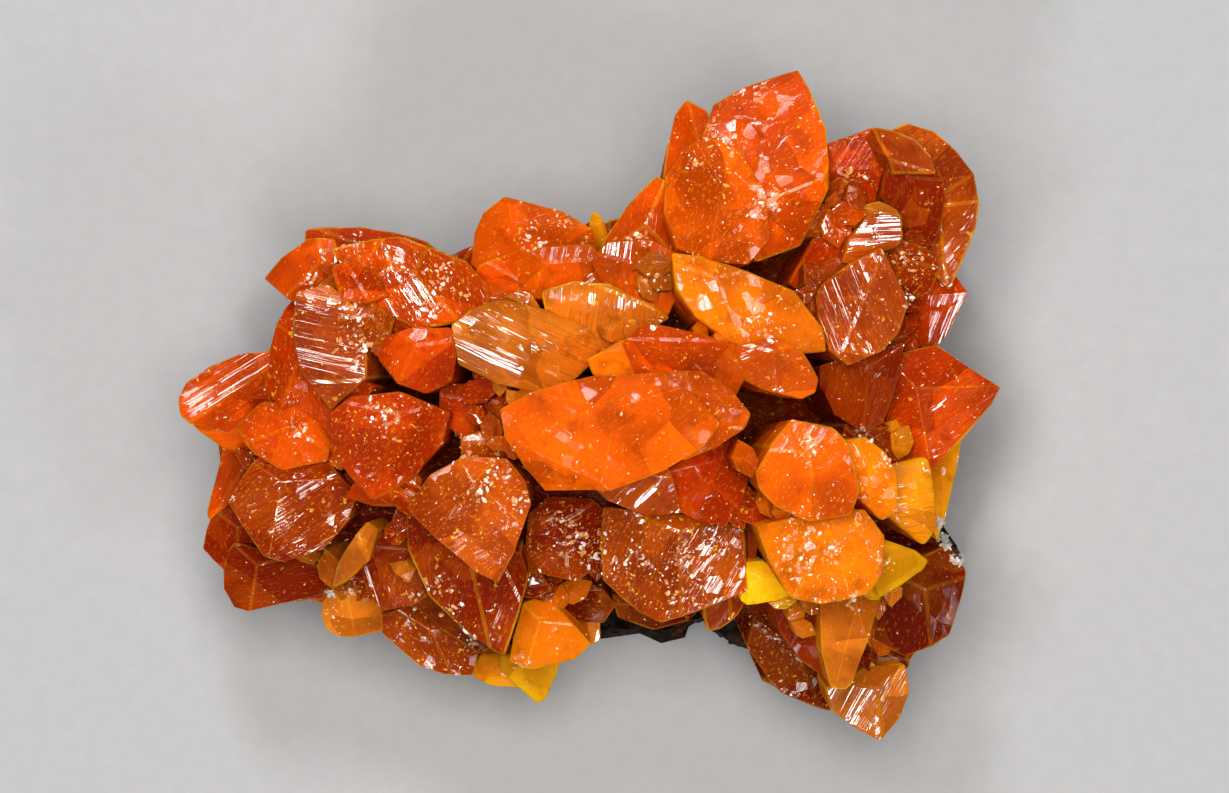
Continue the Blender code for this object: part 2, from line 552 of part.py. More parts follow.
def hidden(spot):
    """Whether one of the photographed crystals lies over a place on the XY plane."""
    for crystal in CRYSTALS:
        corners = [from_photo(u, v) for u, v in crystal.outline]
        turns = [
            (after - before).cross(spot - before) for before, after in zip(corners, corners[1:] + corners[:1])
        ]
        if all(turn > 0 for turn in turns) or all(turn < 0 for turn in turns):
            return True
    return False


def skirt_crystals():
    """(name, bmesh) of the small crystals that point outwards from under the big ones."""
    chance = random.Random(SKIRT_SEED)
    edge = [from_photo(u, v) for u, v in GROUND_EDGE]
    count = 0
    for here, following in zip(edge, edge[1:] + edge[:1]):
        run = following - here
        outward = Vector((run.y, -run.x)).normalized()
        if outward.dot(here) < 0:
            outward.negate()
        steps = max(1, round(run.length / SKIRT_SPACING))
        for step in range(steps):
            spot = here + run * (step + chance.uniform(0.3, 0.7)) / steps
            half = chance.uniform(*SKIRT_HALF_WIDTH)
            turn = math.radians(chance.uniform(-25, 25))
            height = chance.uniform(*SKIRT_HEIGHT)
            slopes = [chance.uniform(30, 50), chance.uniform(15, 35), chance.uniform(15, 35)]
            along = Vector((
                outward.x * math.cos(turn) - outward.y * math.sin(turn),
                outward.x * math.sin(turn) + outward.y * math.cos(turn),
            ))
            across = Vector((-along.y, along.x))
            for reach in SKIRT_REACHES:
                front = [spot + along * reach * 0.45 - across * half, spot + along * reach,
                         spot + along * reach * 0.45 + across * half]
                if all(hidden(corner) for corner in front):
                    break
            else:
                continue
            back = [spot - along * half * 1.2 + across * half * 0.8, spot - along * half * 1.2 - across * half * 0.8]
            peak = Vector((spot.x, spot.y, height))
            looks_to = math.degrees(math.atan2(along.y, along.x))
            faces = ((looks_to, slopes[0], 0.2), (looks_to + 100, slopes[1], 0), (looks_to - 100, slopes[2], 0))
            count += 1
            yield f"skirt_{count:02d}", carve_crystal(front + back, peak, faces, FLOOR_OF_CRYSTALS + 0.15 * MM)


def main():
    """Builds the crystals and the matrix."""
    for old in list(bpy.data.objects):
        bpy.data.objects.remove(old)
    scene = bpy.context.scene.collection
    shapes = bpy.data.collections.new("crystal_shapes")
    scene.children.link(shapes)
    for name, solid in [*photographed_crystals(), *skirt_crystals()]:
        placed("shape_" + name, solid, shapes)
    ground = placed("ground", stepped_slab(GROUND_EDGE, GROUND_STEPS, FLOOR_OF_CRYSTALS, GROUND_HEIGHT), scene)
    cluster = grown_together(ground, shapes)
    for shape in [ground, *shapes.objects]:
        bpy.data.objects.remove(shape)
    placed("orpiment_crystals", cluster, scene, painted("orpiment", ORPIMENT_COLOUR, 0.15))
    slab = stepped_slab(MATRIX_EDGE, MATRIX_STEPS, 0.0, MATRIX_THICKNESS, MATRIX_RAGGEDNESS, seed=3)
    placed("matrix", slab, scene, painted("matrix_rock", MATRIX_COLOUR, 0.85))


main()
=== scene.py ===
"""Orpiment specimen, dressed: translucent orange crystals with growth lines and glitter on dark rock.

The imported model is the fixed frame. The camera looks straight down on the specimen, as it lies on its matrix.
Lengths are in metres, except where a name or a comment says millimetres.
"""

import json
import logging
import math
import random
from dataclasses import dataclass, field
from enum import Enum
from typing import Any, Iterator

import bmesh
import bpy
from mathutils import Matrix, Vector, noise
from mathutils.bvhtree import BVHTree

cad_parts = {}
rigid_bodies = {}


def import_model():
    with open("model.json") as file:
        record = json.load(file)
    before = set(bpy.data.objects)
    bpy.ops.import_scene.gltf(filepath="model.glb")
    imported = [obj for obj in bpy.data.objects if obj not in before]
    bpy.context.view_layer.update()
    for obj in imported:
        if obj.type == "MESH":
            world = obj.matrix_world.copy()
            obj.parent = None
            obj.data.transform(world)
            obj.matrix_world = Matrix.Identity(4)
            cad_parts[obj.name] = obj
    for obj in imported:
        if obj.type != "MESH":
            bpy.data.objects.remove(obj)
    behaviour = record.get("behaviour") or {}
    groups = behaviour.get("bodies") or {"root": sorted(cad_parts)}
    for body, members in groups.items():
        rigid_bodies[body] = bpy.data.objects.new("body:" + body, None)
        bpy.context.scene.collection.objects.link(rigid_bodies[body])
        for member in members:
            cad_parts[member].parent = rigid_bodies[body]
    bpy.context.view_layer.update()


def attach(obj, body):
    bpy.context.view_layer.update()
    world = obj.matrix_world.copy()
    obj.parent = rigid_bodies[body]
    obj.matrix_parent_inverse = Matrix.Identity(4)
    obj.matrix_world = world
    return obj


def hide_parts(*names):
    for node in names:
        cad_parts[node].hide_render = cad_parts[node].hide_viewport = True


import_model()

logging.basicConfig(level=logging.INFO, format="%(message)s")
log = logging.getLogger("orpiment")

MM = 0.001
UP, DOWN = Vector((0.0, 0.0, 1.0)), Vector((0.0, 0.0, -1.0))

# The photographed view, in pixels of the 1229 x 793 frame
FRAME_WIDTH, FRAME_HEIGHT = 1229, 793
PHOTO_LEFT, PHOTO_RIGHT = 177, 1000
PHOTO_TOP, PHOTO_BOTTOM = 70, 743
SPECIMEN_WIDTH = 50.0 * MM
METRES_PER_PIXEL = SPECIMEN_WIDTH / (PHOTO_RIGHT - PHOTO_LEFT)
PHOTO_MIDDLE = ((PHOTO_LEFT + PHOTO_RIGHT) / 2, (PHOTO_TOP + PHOTO_BOTTOM) / 2)


def from_photo(u: float, v: float) -> Vector:
    """Place on the XY plane, in metres, of a pixel of the photographed view."""
    return Vector(((u - PHOTO_MIDDLE[0]) * METRES_PER_PIXEL, (PHOTO_MIDDLE[1] - v) * METRES_PER_PIXEL))


def on_photo(pixels: tuple) -> list[Vector]:
    """Places on the XY plane of several pixels of the photographed view."""
    return [from_photo(u, v) for u, v in pixels]


def compass(angle: float) -> Vector:
    """Direction on the XY plane at an angle in radians from +X."""
    return Vector((math.cos(angle), math.sin(angle)))


def between(span: tuple, share: float) -> float:
    """Value at a share of the way through a span."""
    return span[0] + (span[1] - span[0]) * share


def face_plane(peak: Vector, face: tuple) -> tuple[Vector, Vector]:
    """Plane of a crystal face.

    Args:
        peak: The crystal's highest point.
        face: Direction in degrees, slope in degrees and start in mm from the peak.

    Returns:
        A point of the plane and its outward normal.
    """
    looks_to, slope, start = math.radians(face[0]), math.radians(face[1]), face[2] * MM
    level = compass(looks_to).to_3d()
    return peak + level * start, level * math.sin(slope) + UP * math.cos(slope)


def linear(colour: tuple) -> Vector:
    """Turns a screen colour of 0 to 255 into linear light.

    Args:
        colour: Red, green and blue, 0 to 255.

    Returns:
        The same colour as linear values of 0 to 1.
    """
    return Vector(
        (c / 255 / 12.92 if c <= 10 else ((c / 255 + 0.055) / 1.055) ** 2.4) for c in colour
    )


class Tint(Enum):
    """Body colours of orpiment, from clear thin edges to deep thick crystals, as screen colours."""

    YELLOW = (255, 182, 14)
    GOLD = (255, 156, 12)
    HONEY = (214, 116, 24)
    AMBER = (246, 120, 5)
    ORANGE = (234, 92, 3)
    RED_ORANGE = (222, 76, 2)
    RED = (192, 52, 1)
    RED_BROWN = (176, 66, 12)
    BROWN = (166, 62, 5)
    DARK_RED = (136, 30, 1)
    MAROON = (98, 16, 1)

    @property
    def light(self) -> Vector:
        """The colour in linear light."""
        return linear(self.value)


# Shares of polished skin: on lined faces, on smooth ones and more for each step of glitter, and out of sight
LINED_GLOSS, SMOOTH_GLOSS, GLITTER_GLOSS, HIDDEN_GLOSS = 0.8, 0.03, 0.05, 0.01


@dataclass(frozen=True)
class Finish:
    """Surface of one crystal.

    Attributes:
        grain: Direction in degrees in which its growth lines run in the photographed view.
        spacing: Millimetres between growth lines, 0 where a face is smooth.
        tilt: Degrees by which the strips between the lines lean.
        glitter: 0 to 3, how thickly it is sown with specks and hackly patches.
        thin_edge_glow: 0 to 1, how yellow its thin edges are painted: their own paler colour and a painted glow
            of light coming through them.
    """

    grain: float
    spacing: float
    tilt: float
    glitter: int
    thin_edge_glow: float

    @property
    def gloss(self) -> float:
        """Share of polished skin on its faces: much on lined ones, little on smooth ones."""
        return LINED_GLOSS if self.spacing else SMOOTH_GLOSS + GLITTER_GLOSS * self.glitter


@dataclass(frozen=True)
class Crystal:
    """A crystal as it is seen from above.

    Attributes:
        name: What it is called here.
        tint: Its body colour.
        finish: Its surface.
        outline: Its edge in photo pixels, convex.
        peak: Its highest point, photo pixels and height in mm.
        faces: For each face, its direction and slope in degrees, and its start in mm from the peak.
    """

    name: str
    tint: Tint
    finish: Finish
    outline: tuple
    peak: tuple
    faces: tuple

    def corners(self) -> list[Vector]:
        """The outline on the XY plane."""
        return on_photo(self.outline)

    def planes(self) -> list[tuple[Vector, Vector]]:
        """(point, outward normal) of each face."""
        spot = from_photo(*self.peak[:2])
        summit = Vector((spot.x, spot.y, self.peak[2] * MM))
        return [face_plane(summit, face) for face in self.faces]


# Name, tint, finish, outline, peak and faces of each crystal
CRYSTALS = tuple(
    Crystal(name, tint, Finish(*finish), *shape)
    for name, tint, finish, *shape in (
        ("crown", Tint.RED_ORANGE, (35, 0, 0, 2, 0.5), ((700, 142), (712, 106), (742, 88), (798, 70),
         (807, 86), (825, 128), (828, 190), (800, 246), (756, 262), (714, 216)), (800, 188, 20.5),
         ((100, 14, 0), (350, 48, 1.2), (300, 24, 0), (200, 20, 3.0))),
        ("crown_fin", Tint.RED_ORANGE, (60, 0, 0, 1, 0.4), ((663, 180), (668, 143), (674, 116), (686, 100),
         (707, 111), (716, 150), (700, 190), (675, 196)), (700, 150, 17.5), ((165, 26, 0), (75, 15, 0),
         (330, 30, 0.5))),
        ("crown_shoulder", Tint.ORANGE, (60, 0, 0, 3, 0.2), ((666, 176), (684, 150), (712, 136), (738, 150),
         (766, 196), (770, 240), (748, 266), (706, 262), (676, 250), (664, 214)), (722, 186, 22.5),
         ((70, 16, 0), (300, 12, 0), (190, 24, 0))),
        ("amber", Tint.AMBER, (100, 0, 0, 2, 0.3), ((671, 254), (704, 258), (792, 290), (822, 328),
         (826, 352), (790, 354), (730, 344), (694, 316), (676, 290)), (715, 278, 23.5), ((245, 16, 0),
         (318, 12, 0), (80, 20, 0))),
        ("tongue", Tint.ORANGE, (25, 0.34, 8, 1, 0.2), ((734, 346), (772, 337), (803, 354), (818, 380),
         (815, 393), (800, 400), (764, 390), (744, 380)), (772, 352, 24.0), ((318, 16, 0), (235, 14, 0),
         (90, 20, 0))),
        ("red_triangle", Tint.RED, (60, 0, 0, 1, 0.2), ((788, 284), (830, 204), (852, 218), (850, 242),
         (842, 264), (820, 292), (802, 294)), (830, 236, 19.0), ((95, 16, 0), (275, 18, 0))),
        ("hood", Tint.ORANGE, (20, 0, 0, 2, 0.5), ((471, 264), (475, 232), (483, 214), (504, 197), (534, 204),
         (562, 211), (592, 229), (600, 262), (560, 290), (500, 290)), (511, 222, 16.5), ((172, 30, 0),
         (55, 12, 0), (290, 14, 0))),
        ("tooth", Tint.GOLD, (80, 0, 0, 0, 0.9), ((588, 232), (590, 215), (596, 210), (602, 217), (610, 236),
         (604, 252), (590, 250)), (596, 224, 14.5), ((90, 25, 0), (250, 20, 0), (0, 35, 0.2))),
        ("fan_fin", Tint.RED_ORANGE, (84, 0.42, 9, 1, 0.8), ((602, 242), (629, 203), (656, 176), (668, 182),
         (676, 236), (668, 292), (628, 290), (606, 268)), (650, 215, 18.5), ((150, 28, 0), (350, 14, 0),
         (262, 18, 0.8))),
        ("fan_base", Tint.ORANGE, (80, 0.5, 3, 1, 0.1), ((590, 262), (606, 242), (650, 238), (676, 252),
         (676, 300), (668, 319), (606, 288)), (630, 262, 19.0), ((250, 12, 0), (80, 20, 0))),
        ("hood_block", Tint.ORANGE, (80, 0, 0, 2, 0.2), ((516, 262), (545, 246), (590, 244), (606, 262),
         (600, 286), (540, 300), (518, 300)), (560, 262, 18.0), ((280, 15, 0), (90, 18, 0), (190, 25, 1.0))),
        ("hood_chip", Tint.RED_ORANGE, (20, 0, 0, 1, 0.2), ((478, 266), (520, 250), (530, 262), (516, 300),
         (490, 304), (470, 290)), (505, 272, 17.2), ((60, 20, 0), (240, 16, 0))),
        ("pale_wedge", Tint.HONEY, (82, 0.3, 7, 2, 0.6), ((542, 292), (574, 281), (612, 285), (642, 300),
         (670, 319), (642, 336), (600, 354), (572, 338), (546, 314)), (612, 292, 21.0), ((262, 20, 0),
         (60, 30, 0))),
        ("banded", Tint.HONEY, (335, 0.62, 9, 1, 0.2), ((451, 326), (470, 311), (500, 300), (545, 309),
         (585, 327), (601, 346), (592, 364), (566, 386), (545, 393), (500, 384), (458, 364)),
         (520, 326, 22.0), ((65, 24, 0), (247, 17, 0), (330, 28, 2.5), (190, 35, 3.6))),
        ("left_point", Tint.RED_ORANGE, (72, 0.3, 5, 0, 0.3), ((264, 279), (284, 256), (309, 238), (334, 238),
         (342, 262), (326, 288), (292, 302)), (322, 262, 19.0), ((160, 24, 0), (75, 16, 0.3), (290, 25, 0))),
        ("back_bar", Tint.RED, (350, 0, 0, 1, 0.4), ((305, 229), (360, 226), (400, 233), (424, 240),
         (442, 254), (430, 280), (330, 280), (304, 250)), (370, 250, 16.0), ((90, 22, 0), (200, 12, 0),
         (330, 20, 1.0))),
        ("left_crest", Tint.RED_ORANGE, (118, 0.5, 6, 3, 0.5), ((332, 250), (372, 240), (402, 237),
         (442, 252), (468, 262), (488, 284), (492, 302), (470, 320), (420, 330), (384, 312), (348, 278)),
         (400, 270, 21.5), ((70, 14, 0), (10, 22, 0.8), (265, 18, 0), (160, 18, 0.5))),
        ("inner_red", Tint.RED, (60, 0, 0, 2, 0.1), ((333, 268), (350, 260), (372, 270), (390, 297),
         (368, 304), (342, 300)), (352, 278, 22.0), ((215, 14, 0), (30, 20, 0.4))),
        ("knob", Tint.BROWN, (60, 0, 0, 3, 0.2), ((338, 302), (372, 298), (396, 318), (390, 340), (362, 350),
         (340, 330)), (366, 316, 21.6), ((100, 18, 0), (280, 24, 0), (0, 30, 0.4))),
        ("striped_blade", Tint.RED_BROWN, (347, 0.55, 8, 1, 0.3), ((297, 292), (330, 284), (350, 300),
         (368, 340), (368, 378), (333, 410), (301, 371), (294, 338)), (335, 300, 21.6), ((262, 10, 0),
         (268, 24, 3.0), (10, 30, 1.4))),
        ("flank", Tint.RED, (100, 0, 0, 2, 0.2), ((283, 312), (297, 294), (320, 330), (334, 412), (333, 446),
         (300, 430), (264, 388), (270, 348)), (300, 345, 18.5), ((190, 35, 0), (270, 20, 0.5),
         (110, 30, 0.3))),
        ("left_wing", Tint.RED_ORANGE, (31, 0.42, 6, 1, 0.4), ((177, 398), (185, 382), (208, 366), (240, 353),
         (276, 350), (300, 382), (296, 420), (250, 440), (192, 425), (179, 415)), (262, 372, 15.5),
         ((125, 12, 0), (305, 18, 0))),
        ("wing_front", Tint.RED_ORANGE, (60, 0, 0, 2, 0.2), ((236, 426), (262, 402), (300, 400), (333, 442),
         (328, 462), (282, 470), (256, 456)), (290, 428, 17.5), ((150, 18, 0), (262, 26, 0), (20, 20, 0.3))),
        ("wing_keel", Tint.ORANGE, (10, 0, 0, 0, 0.2), ((190, 423), (262, 420), (300, 440), (296, 466),
         (222, 449)), (262, 432, 15.0), ((265, 28, 0), (100, 15, 0))),
        ("slab_left", Tint.RED_ORANGE, (62, 0.5, 3, 0, 0.3), ((221, 446), (262, 452), (262, 475), (242, 493),
         (207, 522), (204, 516)), (245, 462, 12.0), ((185, 18, 0), (280, 14, 0), (60, 20, 0))),
        ("gold_block", Tint.DARK_RED, (30, 0.34, 4, 2, 0.3), ((227, 500), (254, 462), (263, 454), (328, 462),
         (357, 492), (348, 520), (322, 550), (286, 562), (264, 556), (243, 526)), (282, 482, 16.5),
         ((205, 16, 0), (310, 14, 0), (75, 24, 0))),
        ("lump_left", Tint.DARK_RED, (100, 0, 0, 0, 0.2), ((229, 499), (210, 512), (203, 532), (200, 550),
         (210, 561), (224, 574), (262, 562), (258, 535), (244, 512)), (236, 528, 11.5), ((200, 18, 0),
         (330, 12, 0), (80, 22, 0))),
        ("corner_block", Tint.DARK_RED, (10, 0.4, 5, 0, 0.3), ((226, 552), (234, 543), (300, 558), (330, 572),
         (318, 596), (246, 613), (232, 609), (221, 590), (221, 574)), (256, 566, 12.5), ((105, 20, 0),
         (205, 38, 0), (285, 26, 0))),
        ("corner_shelf", Tint.DARK_RED, (20, 0.3, 6, 2, 0.2), ((250, 575), (300, 556), (335, 560), (345, 580),
         (320, 600), (280, 604), (252, 600)), (300, 572, 11.8), ((270, 22, 0), (90, 12, 0))),
        ("midleft_upper", Tint.RED, (60, 0, 0, 1, 0.1), ((384, 338), (412, 327), (452, 328), (458, 356),
         (454, 380), (426, 394), (396, 382), (378, 358)), (420, 345, 21.5), ((285, 14, 0), (90, 20, 0),
         (190, 18, 0.2))),
        ("midleft_lower", Tint.RED, (60, 0, 0, 2, 0.1), ((331, 414), (354, 396), (402, 392), (452, 412),
         (444, 442), (414, 478), (374, 500), (356, 482), (331, 450)), (392, 412, 21.0), ((245, 15, 0),
         (300, 22, 0.4), (85, 24, 0))),
        ("midleft_rim", Tint.RED, (0, 0, 0, 0, 0.1), ((344, 498), (356, 480), (410, 474), (416, 498),
         (404, 506), (370, 506)), (385, 486, 16.5), ((268, 26, 0), (90, 20, 0))),
        ("maroon_floor", Tint.MAROON, (0, 0, 0, 0, 0), ((356, 500), (408, 498), (412, 540), (385, 548),
         (362, 530)), (384, 512, 12.5), ((270, 12, 0), (90, 10, 0))),
        ("midband", Tint.RED, (0, 0, 0, 1, 0.1), ((440, 384), (500, 384), (545, 394), (500, 440), (462, 440),
         (440, 420)), (480, 400, 18.5), ((265, 16, 0), (80, 14, 0), (0, 30, 1.2))),
        ("spindle_cap", Tint.BROWN, (60, 0, 0, 3, 0.1), ((462, 436), (480, 430), (505, 440), (506, 460),
         (480, 470), (462, 462)), (480, 442, 20.5), ((270, 26, 0), (95, 18, 0), (350, 30, 0.4))),
        ("spindle_head", Tint.RED_BROWN, (30, 0, 0, 3, 0.3), ((408, 507), (432, 474), (466, 456), (506, 458),
         (527, 482), (532, 504), (516, 548), (498, 582), (478, 572)), (470, 488, 22.0), ((165, 20, 0),
         (285, 12, 0), (20, 20, 0.6), (80, 20, 0.6))),
        ("spindle_blade", Tint.DARK_RED, (70, 0.6, 3, 1, 0.4), ((406, 510), (521, 552), (529, 575),
         (516, 622), (504, 656), (472, 636), (430, 596), (408, 548)), (470, 556, 20.0), ((217, 30, 0),
         (300, 14, 0), (10, 45, 1.6))),
        ("box_striped", Tint.DARK_RED, (107, 0.3, 8, 1, 0.2), ((360, 566), (372, 556), (404, 552), (424, 560),
         (434, 592), (412, 607), (380, 612), (366, 592)), (398, 568, 14.0), ((200, 16, 0), (300, 14, 0),
         (90, 20, 0))),
        ("sliver", Tint.HONEY, (55, 0.3, 8, 0, 0.3), ((332, 588), (338, 562), (366, 521), (378, 530),
         (368, 562), (346, 582)), (362, 544, 15.5), ((215, 22, 0), (20, 20, 0))),
        ("small_red", Tint.DARK_RED, (0, 0, 0, 0, 0.1), ((366, 548), (380, 532), (408, 540), (412, 560),
         (380, 566)), (388, 548, 14.5), ((270, 18, 0), (80, 15, 0))),
        ("knob_left", Tint.HONEY, (60, 0, 0, 1, 0.6), ((321, 602), (340, 574), (364, 586), (380, 612),
         (382, 632), (337, 638), (325, 630), (319, 615)), (346, 598, 11.0), ((225, 20, 0), (330, 16, 0),
         (90, 15, 0))),
        ("bottom_slab", Tint.BROWN, (130, 0, 0, 3, 0.5), ((378, 616), (412, 604), (452, 628), (478, 652),
         (472, 677), (444, 676), (420, 668), (398, 650), (380, 634)), (430, 632, 10.5), ((235, 20, 0),
         (60, 16, 0), (330, 12, 0))),
        ("brown_web", Tint.MAROON, (130, 0, 0, 0, 0.1), ((420, 560), (450, 590), (500, 640), (480, 655),
         (440, 630), (412, 606)), (445, 610, 13.0), ((230, 14, 0), (40, 20, 0))),
        ("tip_upper", Tint.AMBER, (60, 0, 0, 1, 0.5), ((512, 640), (522, 604), (546, 596), (564, 614),
         (592, 645), (576, 660), (534, 670), (508, 662)), (540, 622, 13.5), ((300, 16, 0), (200, 18, 0),
         (60, 22, 0))),
        ("tip_lower", Tint.YELLOW, (60, 0, 0, 0, 0.9), ((500, 656), (562, 656), (554, 682), (546, 701),
         (537, 707), (516, 689), (498, 672)), (525, 668, 9.5), ((280, 16, 0), (90, 14, 0), (200, 12, 0))),
        ("tip_side", Tint.GOLD, (0, 0, 0, 1, 0.8), ((469, 670), (480, 656), (510, 658), (522, 690),
         (492, 689), (475, 682)), (500, 668, 9.0), ((265, 16, 0), (90, 14, 0), (200, 16, 0))),
        ("druse_middle", Tint.DARK_RED, (30, 0, 0, 3, 0.1), ((529, 512), (546, 496), (592, 498), (608, 514),
         (606, 560), (576, 582), (538, 574), (526, 548)), (566, 520, 15.5), ((255, 14, 0), (320, 20, 0),
         (100, 16, 0))),
        ("druse_lower", Tint.MAROON, (0, 0, 0, 1, 0.1), ((526, 572), (560, 574), (604, 590), (616, 606),
         (604, 624), (576, 624), (524, 604)), (560, 590, 12.0), ((280, 14, 0), (80, 12, 0))),
        ("white_stub", Tint.HONEY, (80, 0.25, 9, 0, 0.3), ((578, 626), (586, 611), (600, 608), (601, 642),
         (590, 648), (574, 638)), (592, 618, 10.0), ((100, 20, 0), (270, 20, 0.6))),
        ("lens", Tint.ORANGE, (40, 0, 0, 1, 0.3), ((501, 410), (534, 392), (590, 377), (660, 373), (698, 400),
         (719, 423), (702, 447), (666, 469), (610, 489), (546, 490), (527, 468), (505, 434)),
         (615, 408, 26.5), ((92, 26, 0), (222, 10, 0), (318, 14, 0), (240, 38, 3.5))),
        ("lens_lobe", Tint.ORANGE, (60, 0, 0, 2, 0.2), ((652, 372), (702, 370), (733, 392), (750, 414),
         (744, 428), (716, 448), (684, 460), (650, 430)), (690, 392, 24.5), ((45, 14, 0), (300, 14, 0),
         (150, 10, 0))),
        ("centre_red", Tint.RED_ORANGE, (350, 0, 0, 2, 0.1), ((622, 342), (646, 322), (702, 334), (730, 345),
         (716, 362), (690, 374), (656, 378), (634, 372)), (665, 340, 24.0), ((280, 18, 0), (80, 22, 0))),
        ("centre_block", Tint.AMBER, (60, 0, 0, 0, 0.2), ((586, 360), (622, 340), (640, 346), (644, 374),
         (620, 380), (592, 374)), (622, 350, 23.5), ((250, 14, 0), (110, 20, 0), (350, 20, 0.6))),
        ("centre_wedge", Tint.ORANGE, (70, 0, 0, 0, 0.2), ((702, 372), (730, 343), (744, 352), (746, 378),
         (734, 398), (712, 390)), (730, 356, 23.5), ((250, 16, 0), (20, 18, 0))),
        ("under_lens", Tint.RED_BROWN, (48, 0.32, 8, 0, 0.2), ((570, 466), (612, 462), (668, 468), (674, 484),
         (681, 513), (645, 515), (610, 501)), (640, 474, 22.0), ((262, 26, 0), (85, 15, 0))),
        ("under_lens_right", Tint.RED, (60, 0, 0, 1, 0.1), ((664, 472), (690, 456), (732, 438), (748, 470),
         (740, 506), (724, 526), (700, 521), (680, 512)), (708, 462, 21.5), ((280, 20, 0), (20, 26, 0.4),
         (110, 14, 0))),
        ("low_centre", Tint.BROWN, (60, 0.6, 5, 3, 0.3), ((604, 506), (702, 516), (744, 528), (748, 592),
         (660, 623), (640, 613), (604, 582), (600, 548)), (680, 532, 18.0), ((215, 14, 0), (318, 12, 0),
         (90, 20, 0))),
        ("low_rim", Tint.MAROON, (0, 0, 0, 0, 0.2), ((612, 596), (700, 600), (704, 606), (690, 621),
         (655, 631), (618, 619)), (655, 606, 11.5), ((268, 26, 0), (90, 10, 0))),
        ("centre_column", Tint.DARK_RED, (90, 0.5, 4, 0, 0.1), ((738, 470), (758, 470), (764, 520),
         (756, 560), (742, 562), (736, 520)), (748, 490, 17.0), ((270, 15, 0), (90, 20, 0), (0, 30, 0.4))),
        ("small_box", Tint.BROWN, (60, 0, 0, 0, 0.7), ((704, 600), (716, 570), (742, 562), (748, 600),
         (740, 613), (722, 629), (709, 632), (704, 618)), (726, 584, 14.5), ((250, 18, 0), (320, 24, 0.2),
         (90, 16, 0))),
        ("fan_dark", Tint.RED, (60, 0, 0, 2, 0.1), ((824, 144), (873, 127), (890, 168), (882, 200),
         (850, 214), (832, 196), (826, 168)), (866, 168, 18.0), ((110, 16, 0), (260, 18, 0), (20, 20, 0.3))),
        ("top_hat", Tint.RED_BROWN, (100, 0.34, 5, 0, 0.4), ((871, 128), (892, 131), (914, 140), (931, 158),
         (936, 174), (892, 174)), (892, 160, 19.5), ((60, 22, 0), (265, 25, 0.2))),
        ("dark_mass", Tint.DARK_RED, (80, 0, 0, 0, 0.1), ((884, 170), (938, 170), (945, 200), (938, 236),
         (926, 256), (900, 250), (880, 196)), (908, 178, 19.0), ((285, 16, 0), (200, 14, 0), (70, 20, 0))),
        ("rim", Tint.RED_BROWN, (45, 0.55, 8, 1, 0.5), ((890, 130), (908, 122), (934, 130), (960, 154),
         (973, 172), (979, 204), (977, 224), (966, 252), (950, 290), (930, 270)), (938, 196, 17.5),
         ((20, 20, 0), (75, 26, 0), (330, 24, 0.5), (270, 15, 1.0))),
        ("white_face", Tint.RED_BROWN, (0, 0.42, 6, 0, 0.2), ((840, 262), (848, 238), (865, 217), (877, 210),
         (900, 218), (902, 238), (894, 248), (850, 264)), (880, 246, 20.5), ((98, 20, 0), (280, 20, 0))),
        ("gold_lip", Tint.HONEY, (0, 0, 0, 0, 0.7), ((850, 216), (862, 206), (880, 202), (896, 210),
         (902, 226), (870, 232), (850, 228)), (880, 212, 18.8), ((80, 20, 0), (250, 12, 0))),
        ("brown_knob", Tint.DARK_RED, (60, 0, 0, 3, 0.2), ((884, 252), (904, 240), (926, 248), (940, 264),
         (930, 292), (906, 304), (892, 286)), (908, 262, 20.0), ((60, 22, 0), (280, 18, 0), (190, 20, 0.2))),
        ("striated", Tint.RED_BROWN, (112, 0.32, 7, 2, 0.2), ((816, 296), (822, 284), (852, 262), (880, 247),
         (894, 274), (907, 302), (898, 332), (880, 352), (848, 366), (828, 350), (816, 318)),
         (862, 300, 21.5), ((330, 12, 0), (165, 12, 0), (285, 24, 2.4))),
        ("striated_foot", Tint.DARK_RED, (76, 0.5, 5, 0, 0.1), ((820, 366), (882, 348), (904, 343),
         (897, 382), (884, 422), (860, 432), (836, 416), (820, 388)), (868, 366, 19.5), ((235, 18, 0),
         (320, 26, 0), (80, 14, 0))),
        ("bracket", Tint.RED, (70, 0.5, 4, 1, 0.5), ((904, 326), (914, 298), (932, 274), (956, 277),
         (967, 292), (946, 336), (932, 350), (910, 344)), (930, 296, 16.0), ((330, 18, 0), (60, 24, 0),
         (210, 16, 0))),
        ("right_box", Tint.RED, (30, 0.5, 3, 1, 0.4), ((888, 400), (904, 352), (936, 345), (1000, 388),
         (990, 406), (932, 470), (900, 474), (884, 440)), (918, 388, 17.5), ((325, 12, 0), (55, 16, 0),
         (215, 20, 0.2))),
        ("yellow_rim", Tint.GOLD, (50, 0, 0, 1, 1.0), ((998, 388), (990, 406), (962, 440), (950, 452),
         (940, 440), (960, 410)), (966, 416, 14.5), ((330, 22, 0), (200, 12, 0), (60, 15, 0))),
        ("yellow_edge", Tint.GOLD, (80, 0, 0, 1, 1.0), ((962, 438), (955, 478), (948, 512), (938, 540),
         (928, 505), (926, 455), (940, 440)), (942, 468, 13.0), ((340, 20, 0), (230, 12, 0), (60, 15, 0))),
        ("gold_face", Tint.GOLD, (10, 0.4, 4, 1, 0.4), ((858, 472), (926, 457), (935, 498), (937, 528),
         (924, 545), (894, 522), (866, 500)), (900, 486, 18.5), ((265, 14, 0), (90, 18, 0), (345, 24, 0.8))),
        ("gold_main", Tint.ORANGE, (60, 0, 0, 2, 0.3), ((754, 472), (768, 446), (790, 418), (832, 428),
         (846, 442), (858, 488), (850, 514), (806, 520), (774, 506), (758, 488)), (806, 452, 25.0),
         ((95, 20, 0), (250, 12, 0), (330, 16, 0))),
        ("gold_right", Tint.AMBER, (60, 0, 0, 3, 0.3), ((842, 440), (862, 436), (884, 452), (896, 476),
